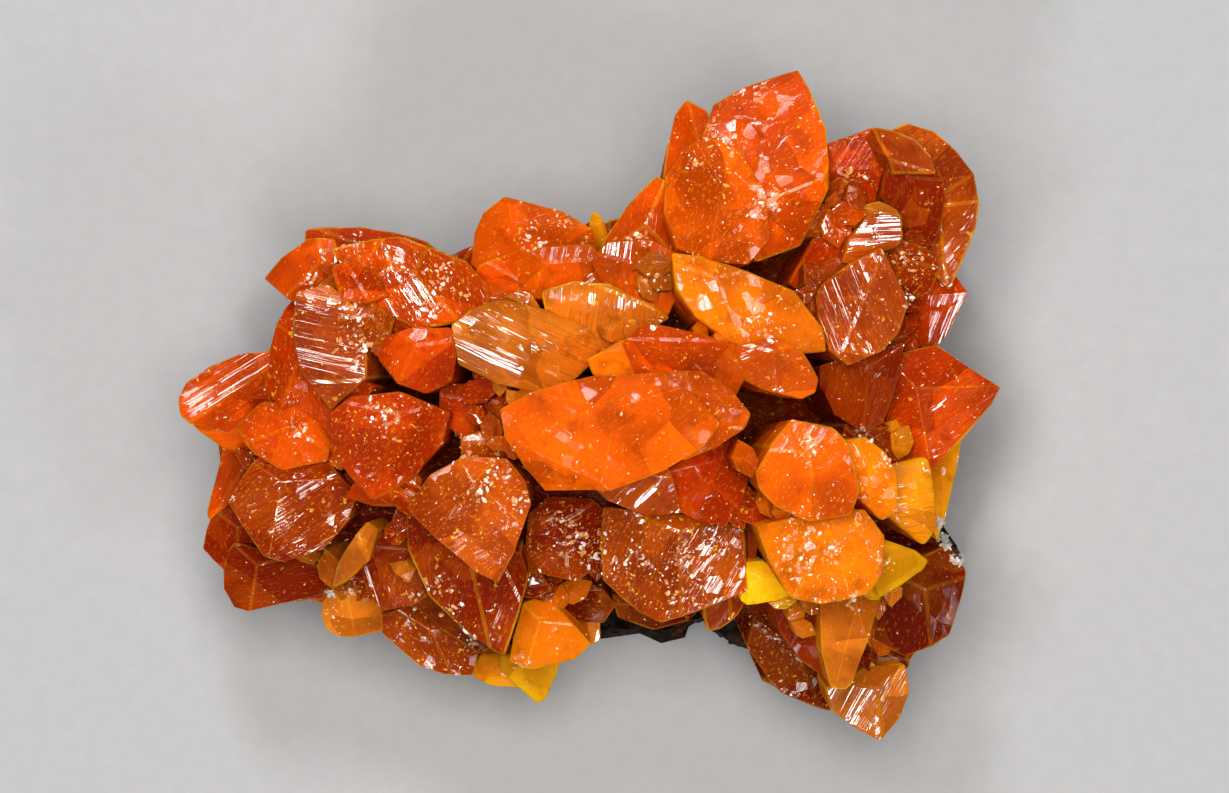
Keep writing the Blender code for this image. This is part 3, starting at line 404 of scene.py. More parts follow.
         (896, 512), (880, 520), (858, 500)), (868, 468, 22.0), ((20, 22, 0), (215, 20, 0), (300, 14, 0))),
        ("gold_lower", Tint.AMBER, (60, 0, 0, 3, 0.3), ((756, 524), (800, 514), (862, 508), (884, 536),
         (882, 572), (868, 592), (820, 604), (788, 596), (768, 562)), (826, 528, 23.5), ((265, 14, 0),
         (200, 18, 0), (340, 20, 0), (90, 15, 0.3))),
        ("yellow_plate", Tint.YELLOW, (60, 0, 0, 0, 0.6), ((742, 562), (762, 560), (786, 578), (798, 592),
         (772, 601), (748, 605), (741, 600)), (758, 576, 17.0), ((240, 14, 0), (60, 18, 0), (300, 18, 0.3))),
        ("spur", Tint.YELLOW, (40, 0, 0, 1, 0.8), ((862, 560), (884, 540), (916, 551), (928, 560), (922, 570),
         (896, 587), (878, 598)), (886, 560, 20.5), ((75, 14, 0), (305, 28, 0), (180, 20, 0.2))),
        ("fang", Tint.HONEY, (70, 0, 0, 0, 0.9), ((820, 598), (884, 566), (882, 592), (868, 640), (852, 682),
         (845, 689), (831, 687), (822, 652)), (856, 606, 17.5), ((215, 20, 0), (350, 30, 0), (270, 16, 0))),
        ("fang_left", Tint.DARK_RED, (60, 0, 0, 0, 0.1), ((770, 602), (824, 600), (834, 640), (832, 684),
         (800, 660), (780, 632)), (806, 616, 14.5), ((235, 22, 0), (330, 14, 0), (90, 20, 0))),
        ("right_slab", Tint.MAROON, (80, 0, 0, 0, 0.2), ((872, 640), (884, 598), (926, 556), (950, 544),
         (968, 570), (963, 600), (951, 636), (926, 650), (906, 658)), (926, 590, 13.0), ((330, 18, 0),
         (235, 14, 0), (70, 20, 0))),
        ("gold_stub", Tint.BROWN, (60, 0, 0, 2, 0.5), ((868, 612), (886, 602), (896, 604), (892, 656),
         (876, 660), (866, 640)), (882, 616, 12.2), ((270, 10, 0), (180, 35, 0.4), (90, 20, 0))),
        ("glass_tip", Tint.HONEY, (240, 0.5, 7, 0, 0.5), ((826, 690), (868, 668), (906, 664), (912, 692),
         (903, 718), (880, 743), (858, 732), (832, 712)), (878, 690, 12.0), ((240, 20, 0), (330, 26, 0),
         (95, 18, 0))),
        ("brown_lump", Tint.MAROON, (60, 0, 0, 2, 0.1), ((747, 648), (754, 606), (800, 598), (834, 640),
         (838, 690), (834, 714), (785, 697), (769, 682)), (790, 640, 10.0), ((240, 14, 0), (330, 10, 0),
         (90, 12, 0))),
        ("brown_ledge", Tint.MAROON, (60, 0, 0, 0, 0.2), ((762, 682), (772, 670), (828, 676), (836, 712),
         (812, 706), (790, 696)), (800, 684, 8.5), ((260, 20, 0), (90, 10, 0))),
        ("web_right", Tint.MAROON, (60, 0, 0, 0, 0.2), ((856, 650), (905, 650), (912, 668), (900, 676),
         (862, 680)), (884, 660, 10.8), ((270, 14, 0), (90, 14, 0))),
    )
)

# Massive orpiment that the crystals stand on: edge in photo pixels, and (share of its height, scale) steps
GROUND_EDGE = (
    (248, 480), (236, 420), (296, 340), (350, 275), (430, 276), (500, 262), (600, 258), (676, 204),
    (740, 146), (796, 148), (880, 176), (934, 204), (930, 300), (918, 350), (942, 400), (920, 470),
    (930, 560), (920, 620), (870, 680), (800, 670), (752, 625), (690, 596), (630, 596), (570, 610),
    (520, 650), (440, 640), (370, 600), (300, 575), (256, 560),
)
GROUND_STEPS = ((0.0, 1.0), (0.14, 1.04), (0.36, 0.96), (0.56, 0.83), (0.80, 0.62), (1.0, 0.36))
GROUND_HEIGHT = 9.0 * MM
FLOOR_OF_CRYSTALS = 5.0 * MM

# How far over that floor the crystals end, in mm: no two neighbours in one plane
FEET = tuple(0.2 + 0.11 * order for order in range(7))
SKIRT_FOOT, FILLER_FOOT = 0.15 * MM, 0.6 * MM

# Where the crystals' sides converge: deep under the middle, shallow under the rim
ROOT_PULL_MIDDLE, ROOT_PULL_RIM = 0.30, 0.60
ROOT_DEPTH_MIDDLE, ROOT_DEPTH_RIM = -12.0 * MM, -3.0 * MM
ROOT_SINKS = (0.0, 2.0 * MM, 4.0 * MM, 7.0 * MM, 11.0 * MM, 16.0 * MM, 24.0 * MM)
OUTLINE_TOLERANCE = 0.04 * MM
RIM_RADIUS = 23.0 * MM
NEAR_TOP = 0.9

BLOCK_SIDE = 160.0 * MM
CUT_TOLERANCE = 1e-7
SAME_PLANE = 0.9998

# Small crystals round the sides, under the big ones
SKIRT_SPACING = 3.6 * MM
SKIRT_REACHES = (3.0 * MM, 2.4 * MM, 1.8 * MM, 1.2 * MM, 0.6 * MM)
SKIRT_HALF_WIDTH = (1.3 * MM, 2.4 * MM)
SKIRT_HEIGHT = (6.6 * MM, 10.5 * MM)
SKIRT_TURN = (-25, 25)
SKIRT_SLOPES = ((30, 50), (15, 35), (15, 35))
SKIRT_SIDE_TURN = 100
SKIRT_SEED = 11
SKIRT_TINTS = (Tint.RED, Tint.DARK_RED, Tint.RED_ORANGE, Tint.BROWN, Tint.HONEY)

# Looks from above start at this height
LOOK_HEIGHT = 0.05


def ring_pairs(ring: list) -> Iterator[tuple]:
    """Each item of a closed ring with the one that follows it."""
    return zip(ring, ring[1:] + ring[:1])


def middle_of(spots: list[Vector]) -> Vector:
    """Mean of places on the XY plane."""
    return sum(spots, Vector((0.0, 0.0))) / len(spots)


def height_on(planes: list, spot: Vector) -> float:
    """Height of the lowest of the planes over a place on the XY plane."""
    return min(
        point.z - ((spot.x - point.x) * normal.x + (spot.y - point.y) * normal.y) / normal.z
        for point, normal in planes
    )


def way_out(spot: Vector, edge: list[Vector]) -> float:
    """How far out a place is in an outline, 0 in its middle and 1 on its edge.

    Args:
        spot: The place on the XY plane.
        edge: Corners of the outline.

    Returns:
        The share of the way out, over 1 outside.
    """
    centre = middle_of(edge)
    way = spot - centre
    for here, following in ring_pairs(edge):
        first, second = here - centre, following - centre
        area = first.cross(second)
        along, beside = way.cross(second) / area, first.cross(way) / area
        if along >= 0 and beside >= 0:
            return along + beside
    return 2.0


def root_of(spot: Vector) -> Vector:
    """The point that a crystal's sides converge on: crystals fan out from under the middle.

    Args:
        spot: Middle of the crystal on the XY plane.

    Returns:
        The point.
    """
    share = min(spot.length / RIM_RADIUS, 1.0)
    pull = ROOT_PULL_MIDDLE + (ROOT_PULL_RIM - ROOT_PULL_MIDDLE) * share
    depth = ROOT_DEPTH_MIDDLE + (ROOT_DEPTH_RIM - ROOT_DEPTH_MIDDLE) * share
    return Vector((spot.x * pull, spot.y * pull, depth))


def side_planes(rim: list[Vector], root: Vector, inside: Vector) -> list[tuple[Vector, Vector]]:
    """Planes through the root and each edge of the rim.

    Args:
        rim: The outline's corners, at the height of the faces.
        root: Where the sides converge.
        inside: A point inside the crystal.

    Returns:
        A point and the outward normal of each plane.
    """
    planes = []
    for here, following in ring_pairs(rim):
        outward = (following - here).cross(root - here).normalized()
        if outward.dot(inside - here) > 0:
            outward.negate()
        planes.append((here, outward))
    return planes


def sides_of(rim: list[Vector], top: Vector) -> tuple[Vector, list[tuple[Vector, Vector]]]:
    """Finds the root of a crystal's sides, sunk until the sides keep its whole rim.

    Args:
        rim: The outline's corners, at the height of the faces.
        top: Middle of the faces.

    Returns:
        The root, and a point and the outward normal of each side.
    """
    for sink in ROOT_SINKS:
        root = root_of(top.xy) - UP * sink
        sides = side_planes(rim, root, root.lerp(top, NEAR_TOP))
        over = max((corner - point).dot(outward) for corner in rim for point, outward in sides)
        if over < OUTLINE_TOLERANCE:
            break
    return root, sides


def chisel(solid: bmesh.types.BMesh, point: Vector, outward: Vector) -> None:
    """Cuts a convex solid along a plane, drops what lies outward of it and closes the cut.

    Args:
        solid: The solid.
        point: A point of the plane.
        outward: The plane's normal.
    """
    everything = solid.verts[:] + solid.edges[:] + solid.faces[:]
    cut = bmesh.ops.bisect_plane(
        solid, geom=everything, dist=CUT_TOLERANCE, plane_co=point, plane_no=outward, clear_outer=True
    )
    rim = [item for item in cut["geom_cut"] if isinstance(item, bmesh.types.BMEdge)]
    if rim:
        bmesh.ops.contextual_create(solid, geom=rim)


def halve(solid: bmesh.types.BMesh, edges: list[bmesh.types.BMEdge]) -> None:
    """Halves edges of a solid of triangles and makes its faces triangles again."""
    bmesh.ops.subdivide_edges(solid, edges=edges, cuts=1)
    bmesh.ops.triangulate(solid, faces=[face for face in solid.faces if len(face.verts) > 3])


def shorten(solid: bmesh.types.BMesh, longest: float, halvings: int) -> None:
    """Makes a solid's faces triangles, and halves its edges until none is longer than the limit.

    Args:
        solid: The solid.
        longest: The limit.
        halvings: How often an edge may be halved.
    """
    bmesh.ops.triangulate(solid, faces=solid.faces)
    for _ in range(halvings):
        long = [edge for edge in solid.edges if edge.calc_length() > longest]
        if not long:
            break
        halve(solid, long)


def placed(name: str, solid: bmesh.types.BMesh, collection: bpy.types.Collection) -> bpy.types.Object:
    """Turns a bmesh into an object of the collection, at the origin.

    Args:
        name: The object's name.
        solid: The bmesh, which is freed.
        collection: Where the object goes.

    Returns:
        The object.
    """
    mesh = bpy.data.meshes.new(name)
    solid.to_mesh(mesh)
    solid.free()
    made = bpy.data.objects.new(name, mesh)
    collection.objects.link(made)
    return made


def tree_of(piece: bpy.types.Object) -> BVHTree:
    """Tree of a finished piece's faces, to cast looks on."""
    mesh = piece.data
    return BVHTree.FromPolygons([v.co for v in mesh.vertices], [tuple(p.vertices) for p in mesh.polygons])


def seen_from_above(tree: BVHTree, spot: Vector) -> tuple[Vector | None, int | None]:
    """Where a look straight down on a place meets the tree's faces, and the index of the face."""
    hit, _, face, _ = tree.ray_cast(Vector((spot.x, spot.y, LOOK_HEIGHT)), DOWN)
    return hit, face


def shells_of(solid: bmesh.types.BMesh) -> list[list[bmesh.types.BMFace]]:
    """Sorts a bmesh's faces into separate closed shells.

    Args:
        solid: The bmesh.

    Returns:
        The faces of each shell, the largest first.
    """
    waiting = set(solid.faces)
    shells = []
    while waiting:
        front = [waiting.pop()]
        shell = []
        while front:
            face = front.pop()
            shell.append(face)
            for edge in face.edges:
                beside = [other for other in edge.link_faces if other in waiting]
                waiting.difference_update(beside)
                front.extend(beside)
        shells.append(shell)
    return sorted(shells, key=len, reverse=True)


@dataclass
class Carver:
    """Carves one crystal from a block, with bevelled edges and growth lines.

    Attributes:
        edge: Width of the bevel on the edges.
        side_spacing: Distance between the growth lines on the sides.
        side_tilt: Degrees by which the strips on the sides lean.
        strip_widths: Least and greatest width of a strip, in mean distances between lines.
        strip_leans: Least and greatest lean of a strip, in shares of the tilt.
        lift_limit: How far a line may rise or sink, in strips that lean one way.
        chance: Source of the random draws.
    """

    edge: float = 0.12 * MM
    side_spacing: float = 0.75 * MM
    side_tilt: float = 4.0
    strip_widths: tuple = (0.35, 1.75)
    strip_leans: tuple = (0.2, 1.0)
    lift_limit: float = 1.6
    chance: random.Random = field(default_factory=lambda: random.Random(5))

    def carve(self, corners: list[Vector], planes: list, foot: float, finish: Finish) -> bmesh.types.BMesh:
        """Carves a crystal.

        Args:
            corners: Its outline on the XY plane.
            planes: Point and normal of each of its faces.
            foot: Height at which it ends, inside the ground.
            finish: Its surface.

        Returns:
            The closed crystal.
        """
        middle = middle_of(corners)
        top = Vector((middle.x, middle.y, height_on(planes, middle)))
        root, sides = sides_of([Vector((spot.x, spot.y, height_on(planes, spot))) for spot in corners], top)
        solid = bmesh.new()
        bmesh.ops.create_cube(solid, size=BLOCK_SIDE)
        for point, outward in [(UP * foot, DOWN), *planes, *sides]:
            chisel(solid, point, outward)
        bmesh.ops.recalc_face_normals(solid, faces=solid.faces)
        bmesh.ops.bevel(
            solid, geom=solid.edges[:], offset=self.edge, segments=1, profile=0.5, affect="EDGES",
            material=-1, clamp_overlap=True,
        )
        solid.normal_update()
        flats = [normal for _, normal in [*planes, *sides]]
        edging = solid.faces.layers.int.new("edging")
        for face in solid.faces:
            face[edging] = 0 if any(face.normal.dot(flat) > SAME_PLANE for flat in flats) else 1
        if finish.spacing:
            along = compass(math.radians(finish.grain)).to_3d()
            for _, normal in planes:
                self.line_face(solid, normal, along, finish.spacing * MM, finish.tilt)
        for _, outward in sides:
            self.line_face(solid, outward, top - root, self.side_spacing, self.side_tilt)
        bmesh.ops.triangulate(solid, faces=solid.faces)
        return solid

    def line_face(
        self, solid: bmesh.types.BMesh, normal: Vector, along: Vector, spacing: float, tilt: float
    ) -> None:
        """Breaks one plane face into strips that lean to and fro, as growth lines do.

        Args:
            solid: The crystal.
            normal: Outward normal of the face.
            along: Direction in which the lines run.
            spacing: Mean distance between lines.
            tilt: Degrees by which strips lean.
        """
        across = normal.cross(along).normalized()
        faces = [face for face in solid.faces if face.normal.dot(normal) > SAME_PLANE]
        if not faces:
            return
        reach = [corner.co.dot(across) for face in faces for corner in face.verts]
        low, high = min(reach), max(reach)
        lines = [low - spacing]
        while lines[-1] < high + spacing:
            lines.append(lines[-1] + spacing * self.chance.uniform(*self.strip_widths))
        for line in lines:
            if not low < line < high:
                continue
            region = [face for face in solid.faces if face.normal.dot(normal) > SAME_PLANE]
            geom = set(region)
            for face in region:
                geom.update(face.verts)
                geom.update(face.edges)
            bmesh.ops.bisect_plane(
                solid, geom=list(geom), dist=CUT_TOLERANCE, plane_co=across * line, plane_no=across
            )
        lift = math.tan(math.radians(tilt)) * 0.5
        limit = spacing * lift * self.lift_limit
        levels = [0.0]
        for before, line in zip(lines, lines[1:]):
            lean = self.chance.choice((-1, 1)) * self.chance.uniform(*self.strip_leans)
            levels.append(max(-limit, min(limit, levels[-1] + lean * (line - before) * lift * 2)))
        strips = [face for face in solid.faces if face.normal.dot(normal) > SAME_PLANE]
        moved = {corner for face in strips for corner in face.verts}
        for corner in moved:
            here = corner.co.dot(across)
            for start, end, *rise in zip(lines, lines[1:], levels, levels[1:]):
                if start <= here <= end:
                    corner.co += normal * (rise[0] + (rise[1] - rise[0]) * (here - start) / (end - start))
                    break


@dataclass
class Cluster:
    """All crystals and their ground, grown together in one closed solid.

    Attributes:
        longest_edge: Longest edge of the finished mesh, so that colours can change along a face.
        halvings: How often an edge may be halved to get there.
        hackle_edge: Longest edge in hackly patches.
        hackle_halvings: How often an edge may be halved to get there.
        hackle_scales: Scale and weight of the noises that set these patches.
        hackle_limits: Noise from which a patch is hackly, by the crystal's glitter.
        hackle_height: How far hackly patches rise and fall.
        painted_shade_depth: Depth under a crystal's rim at which painted shade has made its sides dark.
        look_pitch: Distance between the looks from above that search for clefts.
        look_reaches: How many looks away the two banks of a cleft may be.
        cleft_depth: Depth from which a cleft is filled with small crystals.
        filler_spacing: Least distance between two of these.
        filler_half_mm: Least and greatest half width of one, in mm.
        filler_under_mm: How far one stays under the lower bank, in mm.
        filler_slopes: Least and greatest slope of its faces, in degrees.
        ground_relief: How far the ground between the crystals rises and falls.
        ground_rim: Height from which it does.
        ground_scale: Scale of the noise by which it does.
        filler_seed: Of the random draws for the crystals in clefts.
        relief_seed: Of the random draws for the roughness.
        carver: What carves the crystals.
        crystals: All crystals so far.
        owners: For each carved face, the index of its crystal.
        edgings: For each carved face, 1 on a bevel and 0 on a plane face.
        tree: The carved faces.
    """

    longest_edge: float = 1.6 * MM
    halvings: int = 6
    hackle_edge: float = 0.34 * MM
    hackle_halvings: int = 3
    hackle_scales: tuple = ((420.0, 1.0), (1100.0, 0.5))
    hackle_limits: dict = field(default_factory=lambda: {2: 0.34, 3: 0.12})
    hackle_height: float = 0.02 * MM
    painted_shade_depth: float = 11.0 * MM
    look_pitch: float = 0.45 * MM
    look_reaches: int = 4
    cleft_depth: float = 1.3 * MM
    filler_spacing: float = 0.95 * MM
    filler_half_mm: tuple = (0.5, 0.95)
    filler_under_mm: tuple = (0.3, 1.3)
    filler_slopes: tuple = (8, 34)
    ground_relief: float = 0.9 * MM
    ground_rim: float = 6.2 * MM
    ground_scale: float = 900.0
    filler_seed: int = 17
    relief_seed: int = 8
    carver: Carver = field(default_factory=Carver)
    crystals: list[Crystal] = field(default_factory=list)
    owners: list[int] = field(default_factory=list)
    edgings: list[int] = field(default_factory=list)
    tree: BVHTree | None = None

    def build(self) -> bpy.types.Object:
        """Builds the piece.

        Returns:
            The finished object.
        """
        scene = bpy.context.scene.collection
        shapes = bpy.data.collections.new("crystal_shapes")
        scene.children.link(shapes)
        points: list[Vector] = []
        polygons: list[tuple[int, ...]] = []
        for source in (self.photographed, self.skirt, self.fillers):
            for crystal, solid in source():
                self.take_in(crystal, solid, points, polygons)
                placed("shape_" + crystal.name, solid, shapes)
            self.tree = BVHTree.FromPolygons(points, polygons)
        ground = placed("ground", self.ground(), scene)
        solid = self.joined(ground, shapes)
        for shape in [ground, *shapes.objects]:
            bpy.data.objects.remove(shape)
        bpy.data.collections.remove(shapes)
        self.refine(solid)
        self.colour(solid)
        return placed("grown_crystals", solid, scene)

    def take_in(self, crystal: Crystal, solid: bmesh.types.BMesh, points: list, polygons: list) -> None:
        """Notes a carved crystal's corners and faces, so that the joined surface can be traced back to it.

        Args:
            crystal: The crystal.
            solid: Its carved shape.
            points: All corners so far.
            polygons: All faces so far.
        """
        start = len(points)
        points.extend(corner.co.copy() for corner in solid.verts)
        solid.verts.index_update()
        edging = solid.faces.layers.int["edging"]
        for face in solid.faces:
            polygons.append(tuple(start + corner.index for corner in face.verts))
            self.owners.append(len(self.crystals))
            self.edgings.append(face[edging])
        self.crystals.append(crystal)

    def photographed(self) -> Iterator[tuple[Crystal, bmesh.types.BMesh]]:
        """Carves each crystal of the photographed view, with feet at slightly different heights."""
        for order, crystal in enumerate(CRYSTALS):
            foot = FLOOR_OF_CRYSTALS + FEET[order % len(FEET)] * MM
            yield crystal, self.carver.carve(crystal.corners(), crystal.planes(), foot, crystal.finish)

    def hidden(self, spot: Vector) -> bool:
        """Whether one of the photographed crystals lies over a place.

        Args:
            spot: The place on the XY plane.

        Returns:
            True if the place is inside an outline.
        """
        for crystal in CRYSTALS:
            turns = [(after - before).cross(spot - before) for before, after in ring_pairs(crystal.corners())]
            if all(turn > 0 for turn in turns) or all(turn < 0 for turn in turns):
                return True
        return False

    def skirt(self) -> Iterator[tuple[Crystal, bmesh.types.BMesh]]:
        """Carves the small crystals that point outwards from under the big ones.

        Yields:
            Each crystal and its carved shape.
        """
        chance = random.Random(SKIRT_SEED)
        count = 0
        for here, following in ring_pairs(on_photo(GROUND_EDGE)):
            run = following - here
            outward = Vector((run.y, -run.x)).normalized()
            if outward.dot(here) < 0:
                outward.negate()
            steps = max(1, round(run.length / SKIRT_SPACING))
            for step in range(steps):
                spot = here + run * (step + chance.uniform(0.3, 0.7)) / steps
                half = chance.uniform(*SKIRT_HALF_WIDTH)
                turn = math.radians(chance.uniform(*SKIRT_TURN))
                height = chance.uniform(*SKIRT_HEIGHT)
                slopes = [chance.uniform(*span) for span in SKIRT_SLOPES]
                along = Vector((
                    outward.x * math.cos(turn) - outward.y * math.sin(turn),
                    outward.x * math.sin(turn) + outward.y * math.cos(turn),
                ))
                across = Vector((-along.y, along.x))
                for reach in SKIRT_REACHES:
                    front = [spot + along * reach * 0.45 - across * half, spot + along * reach,
                             spot + along * reach * 0.45 + across * half]
                    if all(self.hidden(corner) for corner in front):
                        break
                else:
                    continue
                back = [spot - along * half * 1.2 + across * half * 0.8,
                        spot - along * half * 1.2 - across * half * 0.8]
                looks_to = math.degrees(math.atan2(along.y, along.x))
                faces = ((looks_to, slopes[0], 0.2), (looks_to + SKIRT_SIDE_TURN, slopes[1], 0),
                         (looks_to - SKIRT_SIDE_TURN, slopes[2], 0))
                finish = Finish(looks_to, 0.6, 4, 1, 0.4)
                tint = SKIRT_TINTS[count % len(SKIRT_TINTS)]
                count += 1
                crystal = Crystal(f"skirt_{count:02d}", tint, finish, (), (0, 0, height / MM), faces)
                planes = [face_plane(Vector((spot.x, spot.y, height)), face) for face in faces]
                yield crystal, self.carver.carve(front + back, planes, FLOOR_OF_CRYSTALS + SKIRT_FOOT, finish)

    def clefts(self) -> list[tuple]:
        """Searches the crystals from above for clefts between two banks.

        Returns:
            Depth, column, row, height of the lower bank and index of its crystal, the deepest first.
        """
        pitch = self.look_pitch
        reach = int(SPECIMEN_WIDTH / pitch / 2)
        looks: dict[tuple[int, int], tuple[float, int]] = {}
        for row in range(-reach, reach + 1):
            for column in range(-reach, reach + 1):
                hit, face = seen_from_above(self.tree, Vector((column * pitch, row * pitch)))
                if hit:
                    looks[column, row] = (hit.z, self.owners[face])
        ahead = range(1, self.look_reaches + 1)
        back = range(-1, -self.look_reaches - 1, -1)
        around = range(-self.look_reaches, self.look_reaches + 1)
        found = []
        for (column, row), (height, _) in looks.items():
            if any((column + i, row + j) not in looks for i in around for j in around):
                continue
            rim, beside = max(
                min(max(looks[column + right * far, row + up * far] for far in way) for way in (ahead, back))
                for right, up in ((1, 0), (0, 1), (1, 1), (1, -1))
            )
            if rim - height > self.cleft_depth:
                found.append((rim - height, column, row, rim, beside))
        return sorted(found, reverse=True)

    def fillers(self) -> Iterator[tuple[Crystal, bmesh.types.BMesh]]:
        """Carves small crystals that fill the clefts between the big ones to a little under their tops.

        Yields:
            Each crystal and its carved shape.
        """
        chance = random.Random(self.filler_seed)
        taken: list[Vector] = []
        for _, column, row, rim, beside in self.clefts():
            half = chance.uniform(*self.filler_half_mm) * MM
            turn, under = chance.uniform(0.0, math.tau), chance.uniform(*self.filler_under_mm) * MM
            slopes = [chance.uniform(*self.filler_slopes) for _ in range(3)]
            spot = Vector((column * self.look_pitch, row * self.look_pitch))
            if any((spot - other).length < self.filler_spacing for other in taken):
                continue
            taken.append(spot)
            corners = [
                spot + compass(turn + math.tau * step / 6) * half * (1.0 if step % 3 else 1.5)
                for step in range(6)
            ]
            looks_to = math.degrees(turn)
            faces = tuple((looks_to + 120 * step, slope, 0.0) for step, slope in enumerate(slopes))
            peak = Vector((spot.x, spot.y, rim - under))
            finish = Finish(looks_to, 0.45 if len(taken) % 2 else 0.0, 5, 1 + len(taken) % 2, 0.2)
            name, tint = f"filler_{len(taken):03d}", self.crystals[beside].tint
            crystal = Crystal(name, tint, finish, (), (0, 0, peak.z / MM), faces)
            planes = [face_plane(peak, face) for face in faces]
            yield crystal, self.carver.carve(corners, planes, FLOOR_OF_CRYSTALS + FILLER_FOOT, finish)
        log.info("fillers: %d", len(taken))

    def ground(self) -> bmesh.types.BMesh:
        """Builds the dome of massive orpiment that joins the crystals.

        Returns:
            The closed dome.
        """
        solid = bmesh.new()
        corners = on_photo(GROUND_EDGE)
        centre = middle_of(corners)
        rings = []
        for share, scale in GROUND_STEPS:
            height = FLOOR_OF_CRYSTALS + GROUND_HEIGHT * share
            flats = [centre + (spot - centre) * scale for spot in corners]
            rings.append([solid.verts.new((*spot, height)) for spot in flats])
        solid.faces.new(rings[0])
        solid.faces.new(rings[-1])
        for lower, upper in zip(rings, rings[1:]):
            pairs = [pair for ring in (lower, upper) for pair in ring_pairs(ring)]
            loops = [solid.edges.get(pair) or solid.edges.new(pair) for pair in pairs]
            bmesh.ops.bridge_loops(solid, edges=loops)
        bmesh.ops.recalc_face_normals(solid, faces=solid.faces)
        return solid

    def joined(self, ground: bpy.types.Object, shapes: bpy.types.Collection) -> bmesh.types.BMesh:
        """Joins ground and crystals in one solid, without the pockets that they close off between them.

        Args:
            ground: The dome.
            shapes: The carved crystals.

        Returns:
            The closed solid.
        """
        union = ground.modifiers.new("grown_together", "BOOLEAN")
        union.operation = "UNION"
        union.operand_type = "COLLECTION"
        union.collection = shapes
        union.solver = "MANIFOLD"
        graph = bpy.context.evaluated_depsgraph_get()
        fused = bpy.data.meshes.new_from_object(ground.evaluated_get(graph))
        solid = bmesh.new()
        solid.from_mesh(fused)
        bpy.data.meshes.remove(fused)
        for pocket in shells_of(solid)[1:]:
            bmesh.ops.delete(solid, geom=pocket, context="FACES")
        loose = [corner for corner in solid.verts if not corner.link_faces]
        bmesh.ops.delete(solid, geom=loose, context="VERTS")
        open_edges = sum(1 for edge in solid.edges if len(edge.link_faces) != 2)
        log.info("joined: %d faces, %d open edges", len(solid.faces), open_edges)
        return solid

    def source(self, place: Vector) -> tuple[int, int]:
        """Traces a place on the surface back.

        Args:
            place: The place.

        Returns:
            Index of the crystal, -1 on the ground, and 1 on its edging or 0 on its faces.
        """
        _, _, nearest, distance = self.tree.find_nearest(place)
        return (self.owners[nearest], self.edgings[nearest]) if distance < 0.02 * MM else (-1, 0)

    def hackly(self, place: Vector) -> float:
        """How hackly the surface is at a place: in patches, and only on crystals with much glitter.

        Args:
            place: The place.

        Returns:
            0 where it is smooth, to 1.
        """
        owner, _ = self.source(place)
        glitter = self.crystals[owner].finish.glitter if owner >= 0 else 0
        if glitter not in self.hackle_limits:
            return 0.0
        patch = sum(weight * noise.noise(place * scale) for scale, weight in self.hackle_scales)
        return max(0.0, min(1.0, (patch - self.hackle_limits[glitter]) * 5.0))

    def refine(self, solid: bmesh.types.BMesh) -> None:
        """Breaks long edges, and roughens the hackly patches and the ground.

        Args:
            solid: The joined crystals.
        """
        shorten(solid, self.longest_edge, self.halvings)
        for _ in range(self.hackle_halvings):
            rough = {
                edge for face in solid.faces
                if face.normal.z >= 0.5 and self.hackly(face.calc_center_median()) > 0
                for edge in face.edges if edge.calc_length() > self.hackle_edge
            }
            if not rough:
                break
            halve(solid, list(rough))
        chance = random.Random(self.relief_seed)
        solid.normal_update()
        for corner in solid.verts:
            draw = chance.uniform(-1.0, 1.0)
            if corner.normal.z < 0.4:
                continue
            if self.source(corner.co)[0] >= 0:
                corner.co += corner.normal * draw * self.hackly(corner.co) * self.hackle_height
            elif corner.co.z > self.ground_rim:
                corner.co.z += (noise.noise(corner.co * self.ground_scale) - 0.2) * self.ground_relief

    def colour(self, solid: bmesh.types.BMesh) -> None:
        """Writes each face's colour, with painted shade low on the sides and on the ground and a painted glow
        on thin edges, its surface, and coordinates across and along the growth lines.

        Args:
            solid: The joined crystals.
        """
        tint = solid.loops.layers.float_color.new("tint")
        surface = solid.loops.layers.float_color.new("surface")
        grain = solid.loops.layers.uv.new("grain")
        # Painted shade: a darkened red for the ground between the crystals and for their sides low in the
        # clefts. Painted glow: the yellow of lit thin edges.
        deep, thin_edge_glow = Tint.DARK_RED.light * 0.55, Tint.YELLOW.light
        rims = [self.rim_height(crystal) for crystal in self.crystals]
        lights = [crystal.tint.light for crystal in self.crystals]
        bare = Finish(0, 0, 0, 1, 0)
        for face in solid.faces:
            owner, edging = self.source(face.calc_center_median())
            finish = self.crystals[owner].finish if owner >= 0 else bare
            along = compass(math.radians(finish.grain)).to_3d()
            if face.normal.z < 0.5:
                along = Vector((face.normal.x, face.normal.y, 0.0)) * -0.3 + UP
            across = face.normal.cross(along).normalized()
            along = across.cross(face.normal)
            gloss = finish.gloss if owner >= 0 and face.normal.z >= 0.55 else HIDDEN_GLOSS
            # Painted glow: thin edges are painted yellow, most of all on sloping bevels.
            yellow = edging * finish.thin_edge_glow * (1.0 if 0.1 < face.normal.z < 0.8 else 0.4)
            for loop in face.loops:
                place = loop.vert.co
                loop[grain].uv = (place.dot(across) / MM + owner * 7.3, place.dot(along) / MM)
                shade = deep
                if owner >= 0:
                    # Painted shade: a crystal's sides go darker the further they lie under its rim.
                    dark = min(1.0, max(0.0, rims[owner] - place.z) / self.painted_shade_depth)
                    shade = lights[owner].lerp(deep, dark * dark * (3 - 2 * dark) * 0.9)
                    if yellow:
                        shade = shade.lerp(thin_edge_glow, yellow)
                loop[tint] = (*shade, 1.0)
                loop[surface] = (1.0 if finish.spacing else 0.25, gloss, finish.glitter / 3, 1.0)

    def rim_height(self, crystal: Crystal) -> float:
        """Height under which painted shade darkens a crystal's sides: the lowest corner of its outline.

        Args:
            crystal: The crystal.

        Returns:
            The height.
        """
        if not crystal.outline:
            return (crystal.peak[2] + 4.0) * MM
        planes = crystal.planes()
        return min(height_on(planes, spot) for spot in crystal.corners())

